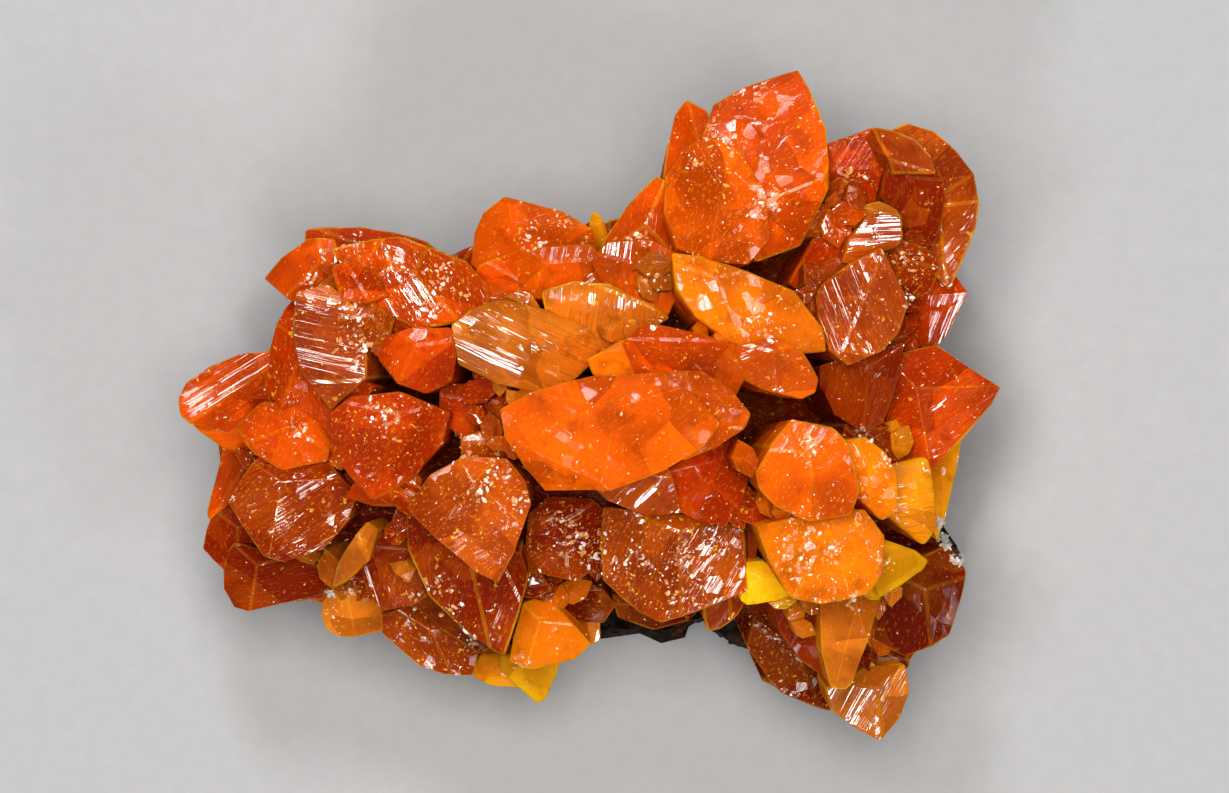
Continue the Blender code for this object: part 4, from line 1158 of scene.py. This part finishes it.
class Sock:
    """A node socket that adds Math nodes where it is used in an expression."""

    def __init__(self, graph: "Graph", socket: Any) -> None:
        """Wraps a socket of a graph."""
        self.graph = graph
        self.socket = socket

    def combine(self, operation: str, *values: Any) -> "Sock":
        """Adds a Math node of the given operation over the values."""
        return self.graph.node("Math", {"operation": operation}, list(values))[0]

    def __add__(self, other: Any) -> "Sock":
        """Sum."""
        return self.combine("ADD", self, other)

    def __sub__(self, other: Any) -> "Sock":
        """Difference."""
        return self.combine("SUBTRACT", self, other)

    def __rsub__(self, other: Any) -> "Sock":
        """Difference from a number."""
        return self.combine("SUBTRACT", other, self)

    def __mul__(self, other: Any) -> "Sock":
        """Product."""
        return self.combine("MULTIPLY", self, other)

    __radd__ = __add__
    __rmul__ = __mul__

    def over(self, threshold: float, width: float) -> "Sock":
        """0 below the threshold, 1 above it plus the width, and a smooth rise between."""
        return self.graph.node(
            "MapRange", {"interpolation_type": "SMOOTHSTEP"},
            {"Value": self, "From Min": threshold, "From Max": threshold + width},
        )[0]


class Graph:
    """The node tree of one material."""

    def __init__(self, name: str) -> None:
        """Makes a material of that name with an empty tree."""
        self.material = bpy.data.materials.new(name)
        self.material.use_nodes = True
        self.tree = self.material.node_tree
        self.tree.nodes.clear()

    def feed(self, socket: Any, value: Any) -> None:
        """Links an input to another node's output, or gives it a value of its own.

        Args:
            socket: The input.
            value: A Sock to link, or a number or colour.
        """
        if isinstance(value, Sock):
            self.tree.links.new(value.socket, socket)
        else:
            socket.default_value = value

    def node(self, kind: str, settings: dict | None = None, values: Any = None) -> list[Sock]:
        """Adds a node.

        Args:
            kind: The node's type, without the words ShaderNode in front.
            settings: Its own settings, set first.
            values: Numbers, colours or links of its sockets, by name or in order.

        Returns:
            Its outputs.
        """
        made = self.tree.nodes.new("ShaderNode" + kind)
        for key, value in (settings or {}).items():
            setattr(made, key, value)
        for key, value in values.items() if isinstance(values, dict) else enumerate(values or []):
            self.feed(made.inputs[key], value)
        return [Sock(self, output) for output in made.outputs if output.enabled]

    def place(self) -> Sock:
        """Place on the object, in metres."""
        return self.node("TexCoord")[3]

    def painted(self, layer: str) -> Sock:
        """Colour that the mesh holds under that name."""
        return self.node("VertexColor", {"layer_name": layer})[0]

    def stretched(self, where: Sock, scale: tuple) -> Sock:
        """Coordinates times a scale."""
        return self.node("Mapping", {}, {"Vector": where, "Scale": scale})[0]

    def vector(self, operation: str, values: Any) -> Sock:
        """Vector Math node of the given operation over the values."""
        return self.node("VectorMath", {"operation": operation}, values)[0]

    def noise(self, where: Sock, scale: float, detail: float = 3.0, roughness: float = 0.5) -> Sock:
        """Noise over the given coordinates, 0 to 1."""
        return self.node(
            "TexNoise", {}, {"Vector": where, "Scale": scale, "Detail": detail, "Roughness": roughness}
        )[0]

    def relief(self, strength: float, distance: float, height: Sock) -> Sock:
        """Normals of a relief of that height, in shares of the distance."""
        return self.node("Bump", {}, {"Strength": strength, "Distance": distance, "Height": height})[0]

    def blend(self, share: Any, first: Any, second: Any) -> Sock:
        """Mixes two colours.

        Args:
            share: How much of the second, 0 to 1.
            first: Colour or link.
            second: Colour or link.

        Returns:
            The mixed colour.
        """
        made = self.tree.nodes.new("ShaderNodeMix")
        made.data_type = "RGBA"
        inputs = [socket for socket in made.inputs if socket.enabled]
        for socket, value in zip(inputs, (share, first, second)):
            self.feed(socket, value)
        return Sock(self, next(output for output in made.outputs if output.enabled))

    def principled(self, values: dict) -> Sock:
        """Principled surface with the given inputs."""
        return self.node("BsdfPrincipled", {}, values)[0]

    def finish(self, surface: Sock) -> bpy.types.Material:
        """Connects the output and gives the material."""
        self.node("OutputMaterial", {}, {"Surface": surface})
        return self.material


@dataclass(frozen=True)
class OrpimentFinish:
    """Translucent orpiment: glows from inside, with veils and inner faces, drawn along its growth lines; light
    and shade from the glow and the inner faces are partly painted into its colour.

    A waxy body, in which light wanders, is mixed with a polished skin. Patches break into small facets.

    Attributes:
        wax_index: Index of refraction of the body.
        polish_index: Index of refraction of the skin.
        glow: Share of the light that wanders in the body.
        clear: Share that passes straight through.
        reach: How far red, green and blue light wander, in shares of the scale.
        reach_scale: The scale.
        streak_stretch: Growth streaks per mm, across and along the growth lines.
        band_stretch: The same of the broad bands.
        fleck_stretch: The same of the yellow flecks.
        cloud_scale: Clouds per metre, which paint glow and shade in patches, bend the inner faces and set where
            facets break.
        veil_scale: Fine yellow veils per metre.
        smudge_scale: Dark smudges per metre.
        inner_scale: Inner faces per metre, painted as brighter and darker patches of light and shade.
        inner_bend: How far the clouds bend the inner faces.
        facet_scale: Broken facets per mm.
        facet_lean: How strongly these lean, where a streak counts as 1.
        band_relief: The same of the bands.
        relief: Height of the streaks.
        glow_gain: How much stronger than its tint the painted glow is, where a crystal is lit inside.
        sunlit: Colour that the lit parts go to.
        depth: Dark colour of the painted shade of the inner faces and clouds, which the growth streaks and
            smudges also go to.
        fleck: Colour of the flecks.
        veil: Colour of the veils.
    """

    wax_index: float = 1.45
    polish_index: float = 2.3
    glow: float = 0.5
    clear: float = 0.06
    reach: tuple = (1.0, 0.32, 0.06)
    reach_scale: float = 1.8 * MM
    streak_stretch: tuple = (8.0, 0.30, 1.0)
    band_stretch: tuple = (2.2, 0.10, 1.0)
    fleck_stretch: tuple = (6.5, 2.4, 1.0)
    cloud_scale: float = 260.0
    veil_scale: float = 1500.0
    smudge_scale: float = 620.0
    inner_scale: float = 330.0
    inner_bend: tuple = (1.4 * MM, 0.9 * MM, 1.2 * MM)
    facet_scale: float = 1.4
    facet_lean: float = 26.0
    band_relief: float = 1.6
    relief: float = 0.03 * MM
    glow_gain: float = 1.5
    sunlit: tuple = (1.0, 0.34, 0.0, 1.0)
    depth: tuple = (0.16, 0.006, 0.0, 1.0)
    fleck: tuple = (1.0, 0.36, 0.012, 1.0)
    veil: tuple = (1.0, 0.5, 0.04, 1.0)

    def material(self) -> bpy.types.Material:
        """Builds the material, which reads the mesh's tint, surface and grain."""
        graph = Graph("orpiment")
        tint = graph.painted("tint")
        lined, gloss, glitter = graph.node("SeparateColor", {}, [graph.painted("surface")])
        where = graph.place()
        drawn = graph.node("UVMap", {"uv_map": "grain"})[0]
        streaks = graph.noise(graph.stretched(drawn, self.streak_stretch), 1.0, 1.0, 0.7)
        bands = graph.noise(graph.stretched(drawn, self.band_stretch), 1.0, 1.0, 0.6)
        flecks = graph.noise(graph.stretched(drawn, self.fleck_stretch), 1.0, 2.0, 0.75)
        cloud = graph.noise(where, self.cloud_scale, 1.0)
        veils = graph.noise(where, self.veil_scale, 2.0, 0.8)
        smudge = graph.noise(where, self.smudge_scale, 2.0, 0.7)
        bent = graph.vector("MULTIPLY_ADD", [cloud, self.inner_bend, where])
        cells = graph.node("TexVoronoi", {}, {"Vector": bent, "Scale": self.inner_scale})[1]
        cell, other, _ = graph.node("SeparateColor", {}, [cells])
        _, splinter, heart = graph.node(
            "TexVoronoi", {"voronoi_dimensions": "2D"}, {"Vector": drawn, "Scale": self.facet_scale}
        )
        away = graph.vector("SUBTRACT", [drawn, heart])
        lean = graph.vector("DOT_PRODUCT", [away, graph.vector("SUBTRACT", [splinter, (0.5, 0.5, 0.5)])])
        broken = cloud.over(0.50, 0.06) * gloss.over(0.012, 0.01) * (0.35 + 0.65 * glitter)
        # Painted glow and shade: the inner faces and the clouds paint brighter and darker patches into the
        # body, where light through the crystal would make them. Streaks, smudges, flecks and veils are its own
        # colour.
        glow_tint = graph.vector("SCALE", {"Vector": tint, "Scale": self.glow_gain})
        bright = graph.blend(0.12, glow_tint, self.sunlit)
        deep = graph.blend(0.65, tint, self.depth)
        body = tint
        for share, colour in (
            (cell.over(0.50, 0.3) * 0.65, bright),
            (other.over(0.55, 0.3) * 0.6, deep),
            (cloud.over(0.50, 0.2) * 0.6, bright),
            ((1 - cloud).over(0.52, 0.16) * 0.6, deep),
            (streaks.over(0.5, 0.2) * lined * 0.5, deep),
            (smudge.over(0.54, 0.16) * 0.5, deep),
            (flecks.over(0.57, 0.07) * (0.15 + 0.3 * glitter), self.fleck),
            (veils.over(0.66, 0.05) * (0.35 + 0.6 * glitter), self.veil),
        ):
            body = graph.blend(share, body, colour)
        height = streaks * lined + bands * lined * self.band_relief + lean * broken * self.facet_lean
        skin = {"Base Color": body, "Normal": graph.relief(0.6, self.relief, height)}
        waxy = graph.principled(skin | {
            "Roughness": 0.34 + streaks * 0.2, "IOR": self.wax_index, "Specular IOR Level": 0.0,
            "Subsurface Weight": self.glow, "Subsurface Radius": self.reach,
            "Subsurface Scale": self.reach_scale, "Transmission Weight": self.clear,
        })
        polished = graph.principled(skin | {"Roughness": 0.06 + streaks * 0.06, "IOR": self.polish_index})
        share = gloss * (0.02 + bands.over(0.47, 0.06) * streaks.over(0.38, 0.12) * 0.96) + broken * 0.12
        return graph.finish(graph.node("MixShader", {}, [share, waxy, polished])[0])


@dataclass(frozen=True)
class RockFinish:
    """Dark, fine-grained matrix rock with rusty and pale grains.

    Attributes:
        dark: Its darkest colour.
        brown: Its common colour.
        rust: Colour of the rusty patches.
        pale: Colour of the pale grains.
        relief: Height of the grains.
    """

    dark: tuple = (0.006, 0.004, 0.003, 1.0)
    brown: tuple = (0.035, 0.018, 0.012, 1.0)
    rust: tuple = (0.12, 0.03, 0.008, 1.0)
    pale: tuple = (0.45, 0.38, 0.32, 1.0)
    relief: float = 0.1 * MM

    def material(self) -> bpy.types.Material:
        """Builds the material."""
        graph = Graph("matrix_rock")
        where = graph.place()
        grain = graph.noise(where, 1400.0, 6.0, 0.7)
        body = graph.blend(grain.over(0.45, 0.2), self.dark, self.brown)
        body = graph.blend(graph.noise(where, 300.0).over(0.52, 0.15) * 0.6, body, self.rust)
        body = graph.blend(grain.over(0.66, 0.04) * 0.7, body, self.pale)
        return graph.finish(graph.principled({
            "Base Color": body, "Roughness": 0.45 + grain * 0.4, "Specular IOR Level": 0.15,
            "Normal": graph.relief(0.8, self.relief, grain),
        }))


@dataclass(frozen=True)
class SpeckFinish:
    """Pale yellow dust and splinters of orpiment, bright where the light meets them.

    Attributes:
        white: Colour that its tint goes to.
        index: Index of refraction.
    """

    white: tuple = (1.0, 0.9, 0.7, 1.0)
    index: float = 1.8

    def material(self) -> bpy.types.Material:
        """Builds the material, which reads the mesh's tint."""
        graph = Graph("orpiment_dust")
        grain = graph.noise(graph.place(), 3000.0)
        body = graph.blend(grain * 0.3, graph.painted("tint"), self.white)
        return graph.finish(graph.principled({
            "Base Color": body, "Roughness": 0.2 + grain * 0.3, "IOR": self.index,
        }))


@dataclass(frozen=True)
class FloorFinish:
    """Pale matt floor.

    Attributes:
        dark: The darker of its two greys.
        light: The lighter one.
    """

    dark: tuple = (0.44, 0.45, 0.47, 1.0)
    light: tuple = (0.50, 0.51, 0.53, 1.0)

    def material(self) -> bpy.types.Material:
        """Builds the material."""
        graph = Graph("floor")
        colour = graph.blend(graph.noise(graph.place(), 900.0), self.dark, self.light)
        return graph.finish(graph.principled({"Base Color": colour, "Roughness": 0.75}))


@dataclass
class MatrixRock:
    """The slab of dark rock under the crystals.

    Attributes:
        edge: Its edge in photo pixels.
        height: Its height: it reaches just into the crystals' ground.
        cell: Longest edge of its mesh.
        halvings: How often an edge may be halved to get there.
        lumps: Scale and weight of the noises that make its surface.
        roughness: How far this rises and falls.
        sag: How far its top sinks where it shows beside the crystals.
        skin: Its foot and its top are this thick.
    """

    edge: tuple = (
        (290, 590), (276, 540), (270, 470), (300, 390), (360, 320), (450, 296), (560, 280), (660, 240),
        (760, 190), (850, 210), (920, 280), (930, 370), (925, 450), (944, 522), (962, 548), (969, 572),
        (940, 612), (900, 650), (850, 672), (800, 672), (768, 660), (748, 651), (732, 646), (718, 636),
        (704, 622), (690, 630), (686, 641), (662, 647), (640, 637), (598, 643), (560, 630), (500, 626),
        (420, 622), (340, 596), (318, 600),
    )
    height: float = 5.3 * MM
    cell: float = 0.62 * MM
    halvings: int = 7
    lumps: tuple = ((260.0, 1.0), (800.0, 0.7), (2100.0, 0.4))
    roughness: float = 0.8 * MM
    sag: float = 1.6 * MM
    skin: float = 0.05 * MM

    def build(self) -> bpy.types.Object:
        """Builds the piece.

        Returns:
            The finished object.
        """
        solid = bmesh.new()
        base = solid.faces.new([solid.verts.new((*spot, 0.0)) for spot in on_photo(self.edge)])
        top = bmesh.ops.extrude_face_region(solid, geom=[base], use_keep_orig=True)["geom"]
        lifted = [item for item in top if isinstance(item, bmesh.types.BMVert)]
        bmesh.ops.translate(solid, verts=lifted, vec=(0.0, 0.0, self.height))
        bmesh.ops.recalc_face_normals(solid, faces=solid.faces)
        shorten(solid, self.cell, self.halvings)
        solid.normal_update()
        ground = on_photo(GROUND_EDGE)
        for corner in solid.verts:
            if corner.co.z < self.skin:
                continue
            lump = sum(weight * noise.noise(corner.co * scale) for scale, weight in self.lumps)
            level = Vector((corner.normal.x, corner.normal.y, 0.0))
            corner.co += level * (lump - 0.7) * self.roughness
            if corner.co.z > self.height - self.skin and way_out(corner.co.xy, ground) > 0.97:
                corner.co.z -= self.sag * max(0.0, min(1.0, 0.35 + lump * 0.6))
        return placed("matrix_rock_slab", solid, bpy.context.scene.collection)


@dataclass
class Grains:
    """Small closed grains, all copies of one round form, gathered into one mesh.

    Attributes:
        name: Name of the piece.
        form: Corners and faces of the form, of radius 1.
        points: All corners so far.
        polygons: All faces so far.
        tints: Colour of each grain.
    """

    name: str
    form: tuple[list[Vector], list[tuple[int, ...]]] = field(init=False)
    points: list[Vector] = field(default_factory=list)
    polygons: list[tuple[int, ...]] = field(default_factory=list)
    tints: list[Vector] = field(default_factory=list)

    def __post_init__(self) -> None:
        """Makes the form."""
        ball = bmesh.new()
        bmesh.ops.create_icosphere(ball, subdivisions=1, radius=1.0)
        ball.verts.index_update()
        faces = [tuple(corner.index for corner in face.verts) for face in ball.faces]
        self.form = [corner.co.copy() for corner in ball.verts], faces
        ball.free()

    def add(self, spot: Vector, turn: Matrix, radii: tuple, tint: Vector) -> None:
        """Adds a grain.

        Args:
            spot: Where its middle lies.
            turn: How it is turned.
            radii: Half its length, width and height.
            tint: Its colour.
        """
        start = len(self.points)
        place = Matrix.Translation(spot) @ turn @ Matrix.Diagonal((*radii, 1.0))
        self.points.extend(place @ corner for corner in self.form[0])
        self.polygons.extend(tuple(start + index for index in face) for face in self.form[1])
        self.tints.append(tint)

    def build(self) -> bpy.types.Object:
        """Makes the mesh with the attributes that the crystals' finish reads.

        Returns:
            The finished object.
        """
        mesh = bpy.data.meshes.new(self.name)
        mesh.from_pydata(self.points, [], self.polygons)
        solid = bmesh.new()
        solid.from_mesh(mesh)
        bpy.data.meshes.remove(mesh)
        tint = solid.loops.layers.float_color.new("tint")
        surface = solid.loops.layers.float_color.new("surface")
        grain = solid.loops.layers.uv.new("grain")
        for order, face in enumerate(solid.faces):
            shade = self.tints[order // len(self.form[1])]
            for loop in face.loops:
                loop[tint] = (*shade, 1.0)
                loop[surface] = (0.0, 1.0, 0.0, 1.0)
                loop[grain].uv = (loop.vert.co.x / MM, loop.vert.co.y / MM)
        return placed(self.name, solid, bpy.context.scene.collection)


@dataclass
class Sower:
    """Sows specks, small druse crystals and pale grains on the upper faces.

    Attributes:
        cluster: The crystals, which say whose surface a place is.
        surface: The finished crystals.
        specks_per_square_mm: By the crystal's glitter.
        speck_sizes: Radius of the smallest and the largest.
        dust: Colour of the palest specks.
        druse_sizes: Radius of the smallest and the largest small crystal.
        druse_in_spot: Small crystals in a spot of one square mm.
        glint_share: Share of them painted white, as painted glints.
        white: Colour of these painted glints.
        spots: Where they grow: photo pixel and radius in pixels.
        lowest: Nothing but pale grains is sown below this height.
        pale_spots: Where pale grains lie: photo pixel, radius in pixels and number.
        pale_mm: Radius of the smallest and the largest pale grain, in mm.
        pale_dark: Colour of the darkest.
        pale_light: Colour of the lightest.
        pale_lowest: No pale grain lies below this height.
        seeds: Of the random draws for specks, small crystals and pale grains.
        tree: The finished crystals' faces.
    """

    cluster: Cluster
    surface: bpy.types.Object
    specks_per_square_mm: tuple = (0.5, 1.1, 2.2, 3.2)
    speck_sizes: tuple = (0.02 * MM, 0.075 * MM)
    dust: tuple = (1.0, 0.85, 0.6)
    druse_sizes: tuple = (0.035 * MM, 0.21 * MM)
    druse_in_spot: float = 13.0
    glint_share: float = 0.3
    white: tuple = (1.0, 0.92, 0.84)
    spots: tuple = (
        (354, 246, 14), (312, 281, 13), (350, 311, 16), (354, 345, 18), (439, 282, 24), (430, 312, 14),
        (386, 415, 20), (300, 430, 12), (454, 447, 14), (474, 447, 12), (732, 146, 16), (712, 136, 14),
        (768, 203, 16), (692, 160, 12), (759, 322, 14), (768, 332, 10), (656, 322, 9), (845, 173, 10),
        (865, 179, 9), (908, 259, 14), (944, 282, 8), (568, 531, 20), (588, 545, 20), (636, 562, 14),
        (686, 554, 14), (672, 593, 12), (798, 526, 18), (784, 548, 12), (800, 562, 16), (829, 551, 10),
        (804, 450, 16), (863, 435, 10), (885, 464, 12), (877, 560, 10), (897, 509, 9), (478, 484, 16),
        (500, 470, 16), (520, 500, 12), (735, 620, 10), (440, 585, 14), (408, 602, 12), (452, 612, 12),
        (350, 588, 12), (332, 612, 10), (520, 662, 10), (470, 640, 10), (850, 600, 12), (905, 300, 10),
        (530, 240, 14), (560, 225, 12), (640, 240, 12), (655, 285, 10),
    )
    lowest: float = 7.0 * MM
    pale_spots: tuple = ((942, 524, 6, 30), (950, 541, 9, 60), (960, 560, 8, 44), (330, 594, 5, 10))
    pale_mm: tuple = (0.07, 0.24)
    pale_dark: tuple = (0.30, 0.27, 0.24)
    pale_light: tuple = (0.8, 0.76, 0.7)
    pale_lowest: float = 1.0 * MM
    seeds: tuple = (21, 22, 23)
    tree: BVHTree = field(init=False)

    def __post_init__(self) -> None:
        """Makes the tree that looks from above are cast on."""
        self.tree = tree_of(self.surface)

    def look_down(self, spot: Vector) -> tuple[Vector | None, int]:
        """Finds where a look from above meets the crystals.

        Args:
            spot: The place on the XY plane.

        Returns:
            The place, and the index of the crystal whose surface it is.
        """
        hit, _ = seen_from_above(self.tree, spot)
        if not hit or hit.z < self.lowest:
            return None, -1
        return hit, self.cluster.source(hit)[0]

    def turned(self, chance: random.Random) -> Matrix:
        """A random turn."""
        spin = Matrix.Rotation(chance.uniform(0, math.tau), 4, "Z")
        return spin @ Matrix.Rotation(chance.uniform(0, 3.1), 4, "X")

    def specks(self) -> bpy.types.Object:
        """Sows pale dust and splinters.

        Returns:
            The finished object.
        """
        chance = random.Random(self.seeds[0])
        grains = Grains("orpiment_specks")
        low, high = on_photo(((PHOTO_LEFT, PHOTO_BOTTOM), (PHOTO_RIGHT, PHOTO_TOP)))
        most = max(self.specks_per_square_mm)
        for _ in range(int((high.x - low.x) * (high.y - low.y) / MM ** 2 * most)):
            spot = Vector((chance.uniform(low.x, high.x), chance.uniform(low.y, high.y)))
            pick, size = chance.random(), chance.random() ** 3
            light, long = chance.random(), chance.uniform(0.6, 2.2)
            turn = self.turned(chance)
            hit, owner = self.look_down(spot)
            if owner < 0:
                continue
            if pick > self.specks_per_square_mm[self.cluster.crystals[owner].finish.glitter] / most:
                continue
            radius = between(self.speck_sizes, size)
            shade = Tint.GOLD.light.lerp(Vector(self.dust), light)
            grains.add(hit, turn, (radius * long, radius, radius * 0.7), shade)
        return grains.build()

    def druse(self) -> bpy.types.Object:
        """Sows the small glassy crystals of the spots.

        Returns:
            The finished object.
        """
        chance = random.Random(self.seeds[1])
        grains = Grains("orpiment_druse")
        for u, v, spread in self.spots:
            reach = spread * METRES_PER_PIXEL
            for _ in range(int(self.druse_in_spot * math.pi * (reach / MM) ** 2)):
                angle = chance.uniform(0, math.tau)
                far = reach * math.sqrt(chance.random()) * chance.uniform(0.6, 1.3)
                size, long, light = chance.random() ** 2, chance.uniform(0.8, 1.8), chance.random()
                turn = self.turned(chance)
                hit, owner = self.look_down(from_photo(u, v) + compass(angle) * far)
                if owner < 0:
                    continue
                radius = between(self.druse_sizes, size)
                shade = self.cluster.crystals[owner].tint.light.lerp(Tint.GOLD.light, light)
                # Painted glints: a share of the small crystals is painted white, for flashes of light.
                if chance.random() < self.glint_share:
                    shade = Vector(self.white)
                grains.add(hit - UP * (radius * 0.25), turn, (radius * long, radius, radius * 0.6), shade)
        return grains.build()

    def pale_grains(self, rock: bpy.types.Object) -> bpy.types.Object:
        """Sows the pale grains on the rock's edge.

        Args:
            rock: The finished rock.

        Returns:
            The finished object.
        """
        chance = random.Random(self.seeds[2])
        grains = Grains("pale_grains")
        trees = (self.tree, tree_of(rock))
        for u, v, spread, count in self.pale_spots:
            for _ in range(count):
                angle = chance.uniform(0, math.tau)
                far = spread * METRES_PER_PIXEL * math.sqrt(chance.random())
                size, light = chance.uniform(*self.pale_mm) * MM, chance.random()
                turn = self.turned(chance)
                spot = from_photo(u, v) + compass(angle) * far
                hits = [hit for hit, _ in (seen_from_above(tree, spot) for tree in trees) if hit]
                top = max(hits, key=lambda hit: hit.z, default=None)
                if top is None or top.z < self.pale_lowest:
                    continue
                shade = Vector(self.pale_dark).lerp(Vector(self.pale_light), light)
                grains.add(top, turn, (size, size * 0.7, size * 0.45), shade)
        return grains.build()


@dataclass
class Softbox:
    """A soft rectangular light.

    Attributes:
        name: What it is called.
        azimuth: Direction it stands in, degrees from +X.
        elevation: Height over the floor in degrees.
        size: Its two sides.
        power: Watts.
        colour: Its colour.
    """

    name: str
    azimuth: float
    elevation: float
    size: tuple
    power: float
    colour: tuple = (1.0, 1.0, 1.0)

    def build(self, target: Vector, distance: float) -> None:
        """Places the light at a distance from the target, facing it.

        Args:
            target: The target.
            distance: The distance.
        """
        lamp = bpy.data.lights.new(self.name, "AREA")
        lamp.shape = "RECTANGLE"
        lamp.size, lamp.size_y = self.size
        lamp.energy = self.power
        lamp.color = self.colour
        made = bpy.data.objects.new(self.name, lamp)
        turn, rise = math.radians(self.azimuth), math.radians(self.elevation)
        way = Vector((math.cos(turn) * math.cos(rise), math.sin(turn) * math.cos(rise), math.sin(rise)))
        made.location = target + way * distance
        made.rotation_euler = (-way).to_track_quat("-Z", "Y").to_euler()
        bpy.context.scene.collection.objects.link(made)


@dataclass
class Studio:
    """Floor, lights and camera.

    Attributes:
        target: Middle of what the lights look at.
        camera_height: Distance of the camera over the reference plane.
        reference: Height at which the photographed scale holds.
        sensor_mm: Width of the camera's sensor, in mm.
        clip: Nearest and farthest that the camera sees.
        floor_reach: How far the floor reaches to each side.
        light_distance: Distance of the lights from the target.
        lights: The softboxes.
        backdrop: Colour of the light from all around.
        backdrop_strength: How bright that is.
    """

    target: Vector = field(default_factory=lambda: Vector((0.0, 0.0, 0.015)))
    camera_height: float = 1.0
    reference: float = 0.015
    sensor_mm: float = 36.0
    clip: tuple = (0.01, 10.0)
    floor_reach: float = 1.5
    light_distance: float = 0.60
    lights: tuple = (
        Softbox("overhead", 90, 86, (0.30, 0.30), 2.9, (1.0, 0.95, 0.88)),
        Softbox("key_top", 100, 50, (0.11, 0.11), 1.2),
        Softbox("key_front", 250, 48, (0.10, 0.10), 0.8),
        Softbox("side", 330, 46, (0.10, 0.10), 0.4),
    )
    backdrop: tuple = (1.0, 0.86, 0.72, 1.0)
    backdrop_strength: float = 0.05

    def build(self) -> None:
        """Builds the studio."""
        scene = bpy.context.scene
        scene.view_settings.view_transform = "Standard"
        solid = bmesh.new()
        bmesh.ops.create_grid(solid, x_segments=2, y_segments=2, size=self.floor_reach)
        floor = placed("floor", solid, scene.collection)
        floor.data.materials.append(FloorFinish().material())
        for light in self.lights:
            light.build(self.target, self.light_distance)
        world = bpy.data.worlds.new("studio")
        world.use_nodes = True
        backdrop = world.node_tree.nodes["Background"]
        backdrop.inputs["Color"].default_value = self.backdrop
        backdrop.inputs["Strength"].default_value = self.backdrop_strength
        scene.world = world
        lens = bpy.data.cameras.new("camera")
        camera = bpy.data.objects.new("camera", lens)
        middle = from_photo(FRAME_WIDTH / 2, FRAME_HEIGHT / 2)
        camera.location = (middle.x, middle.y, self.reference + self.camera_height)
        lens.sensor_width = self.sensor_mm
        lens.lens = self.sensor_mm * self.camera_height / (FRAME_WIDTH * METRES_PER_PIXEL)
        lens.clip_start, lens.clip_end = self.clip
        scene.collection.objects.link(camera)
        scene.camera = camera


def dressed(piece: bpy.types.Object, material: bpy.types.Material) -> bpy.types.Object:
    """Gives a finished piece its material, reports its size and hands it back."""
    piece.data.materials.append(material)
    log.info("%s: %d faces", piece.name, len(piece.data.polygons))
    return piece


def main() -> None:
    """Builds the dressed specimen and its studio."""
    cluster = Cluster()
    crystals = dressed(cluster.build(), OrpimentFinish().material())
    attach(crystals, "root")
    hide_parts("orpiment_crystals")
    rock = dressed(MatrixRock().build(), RockFinish().material())
    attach(rock, "root")
    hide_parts("matrix")
    sower, dust = Sower(cluster, crystals), SpeckFinish().material()
    specks = dressed(sower.specks(), dust)
    druse = dressed(sower.druse(), dust)
    grains = dressed(sower.pale_grains(rock), dust)
    for piece, slot in ((specks, "orpiment"), (druse, "orpiment"), (grains, "matrix_rock")):
        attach(piece, "root")
    Studio().build()


if __name__ == "__main__":
    main()
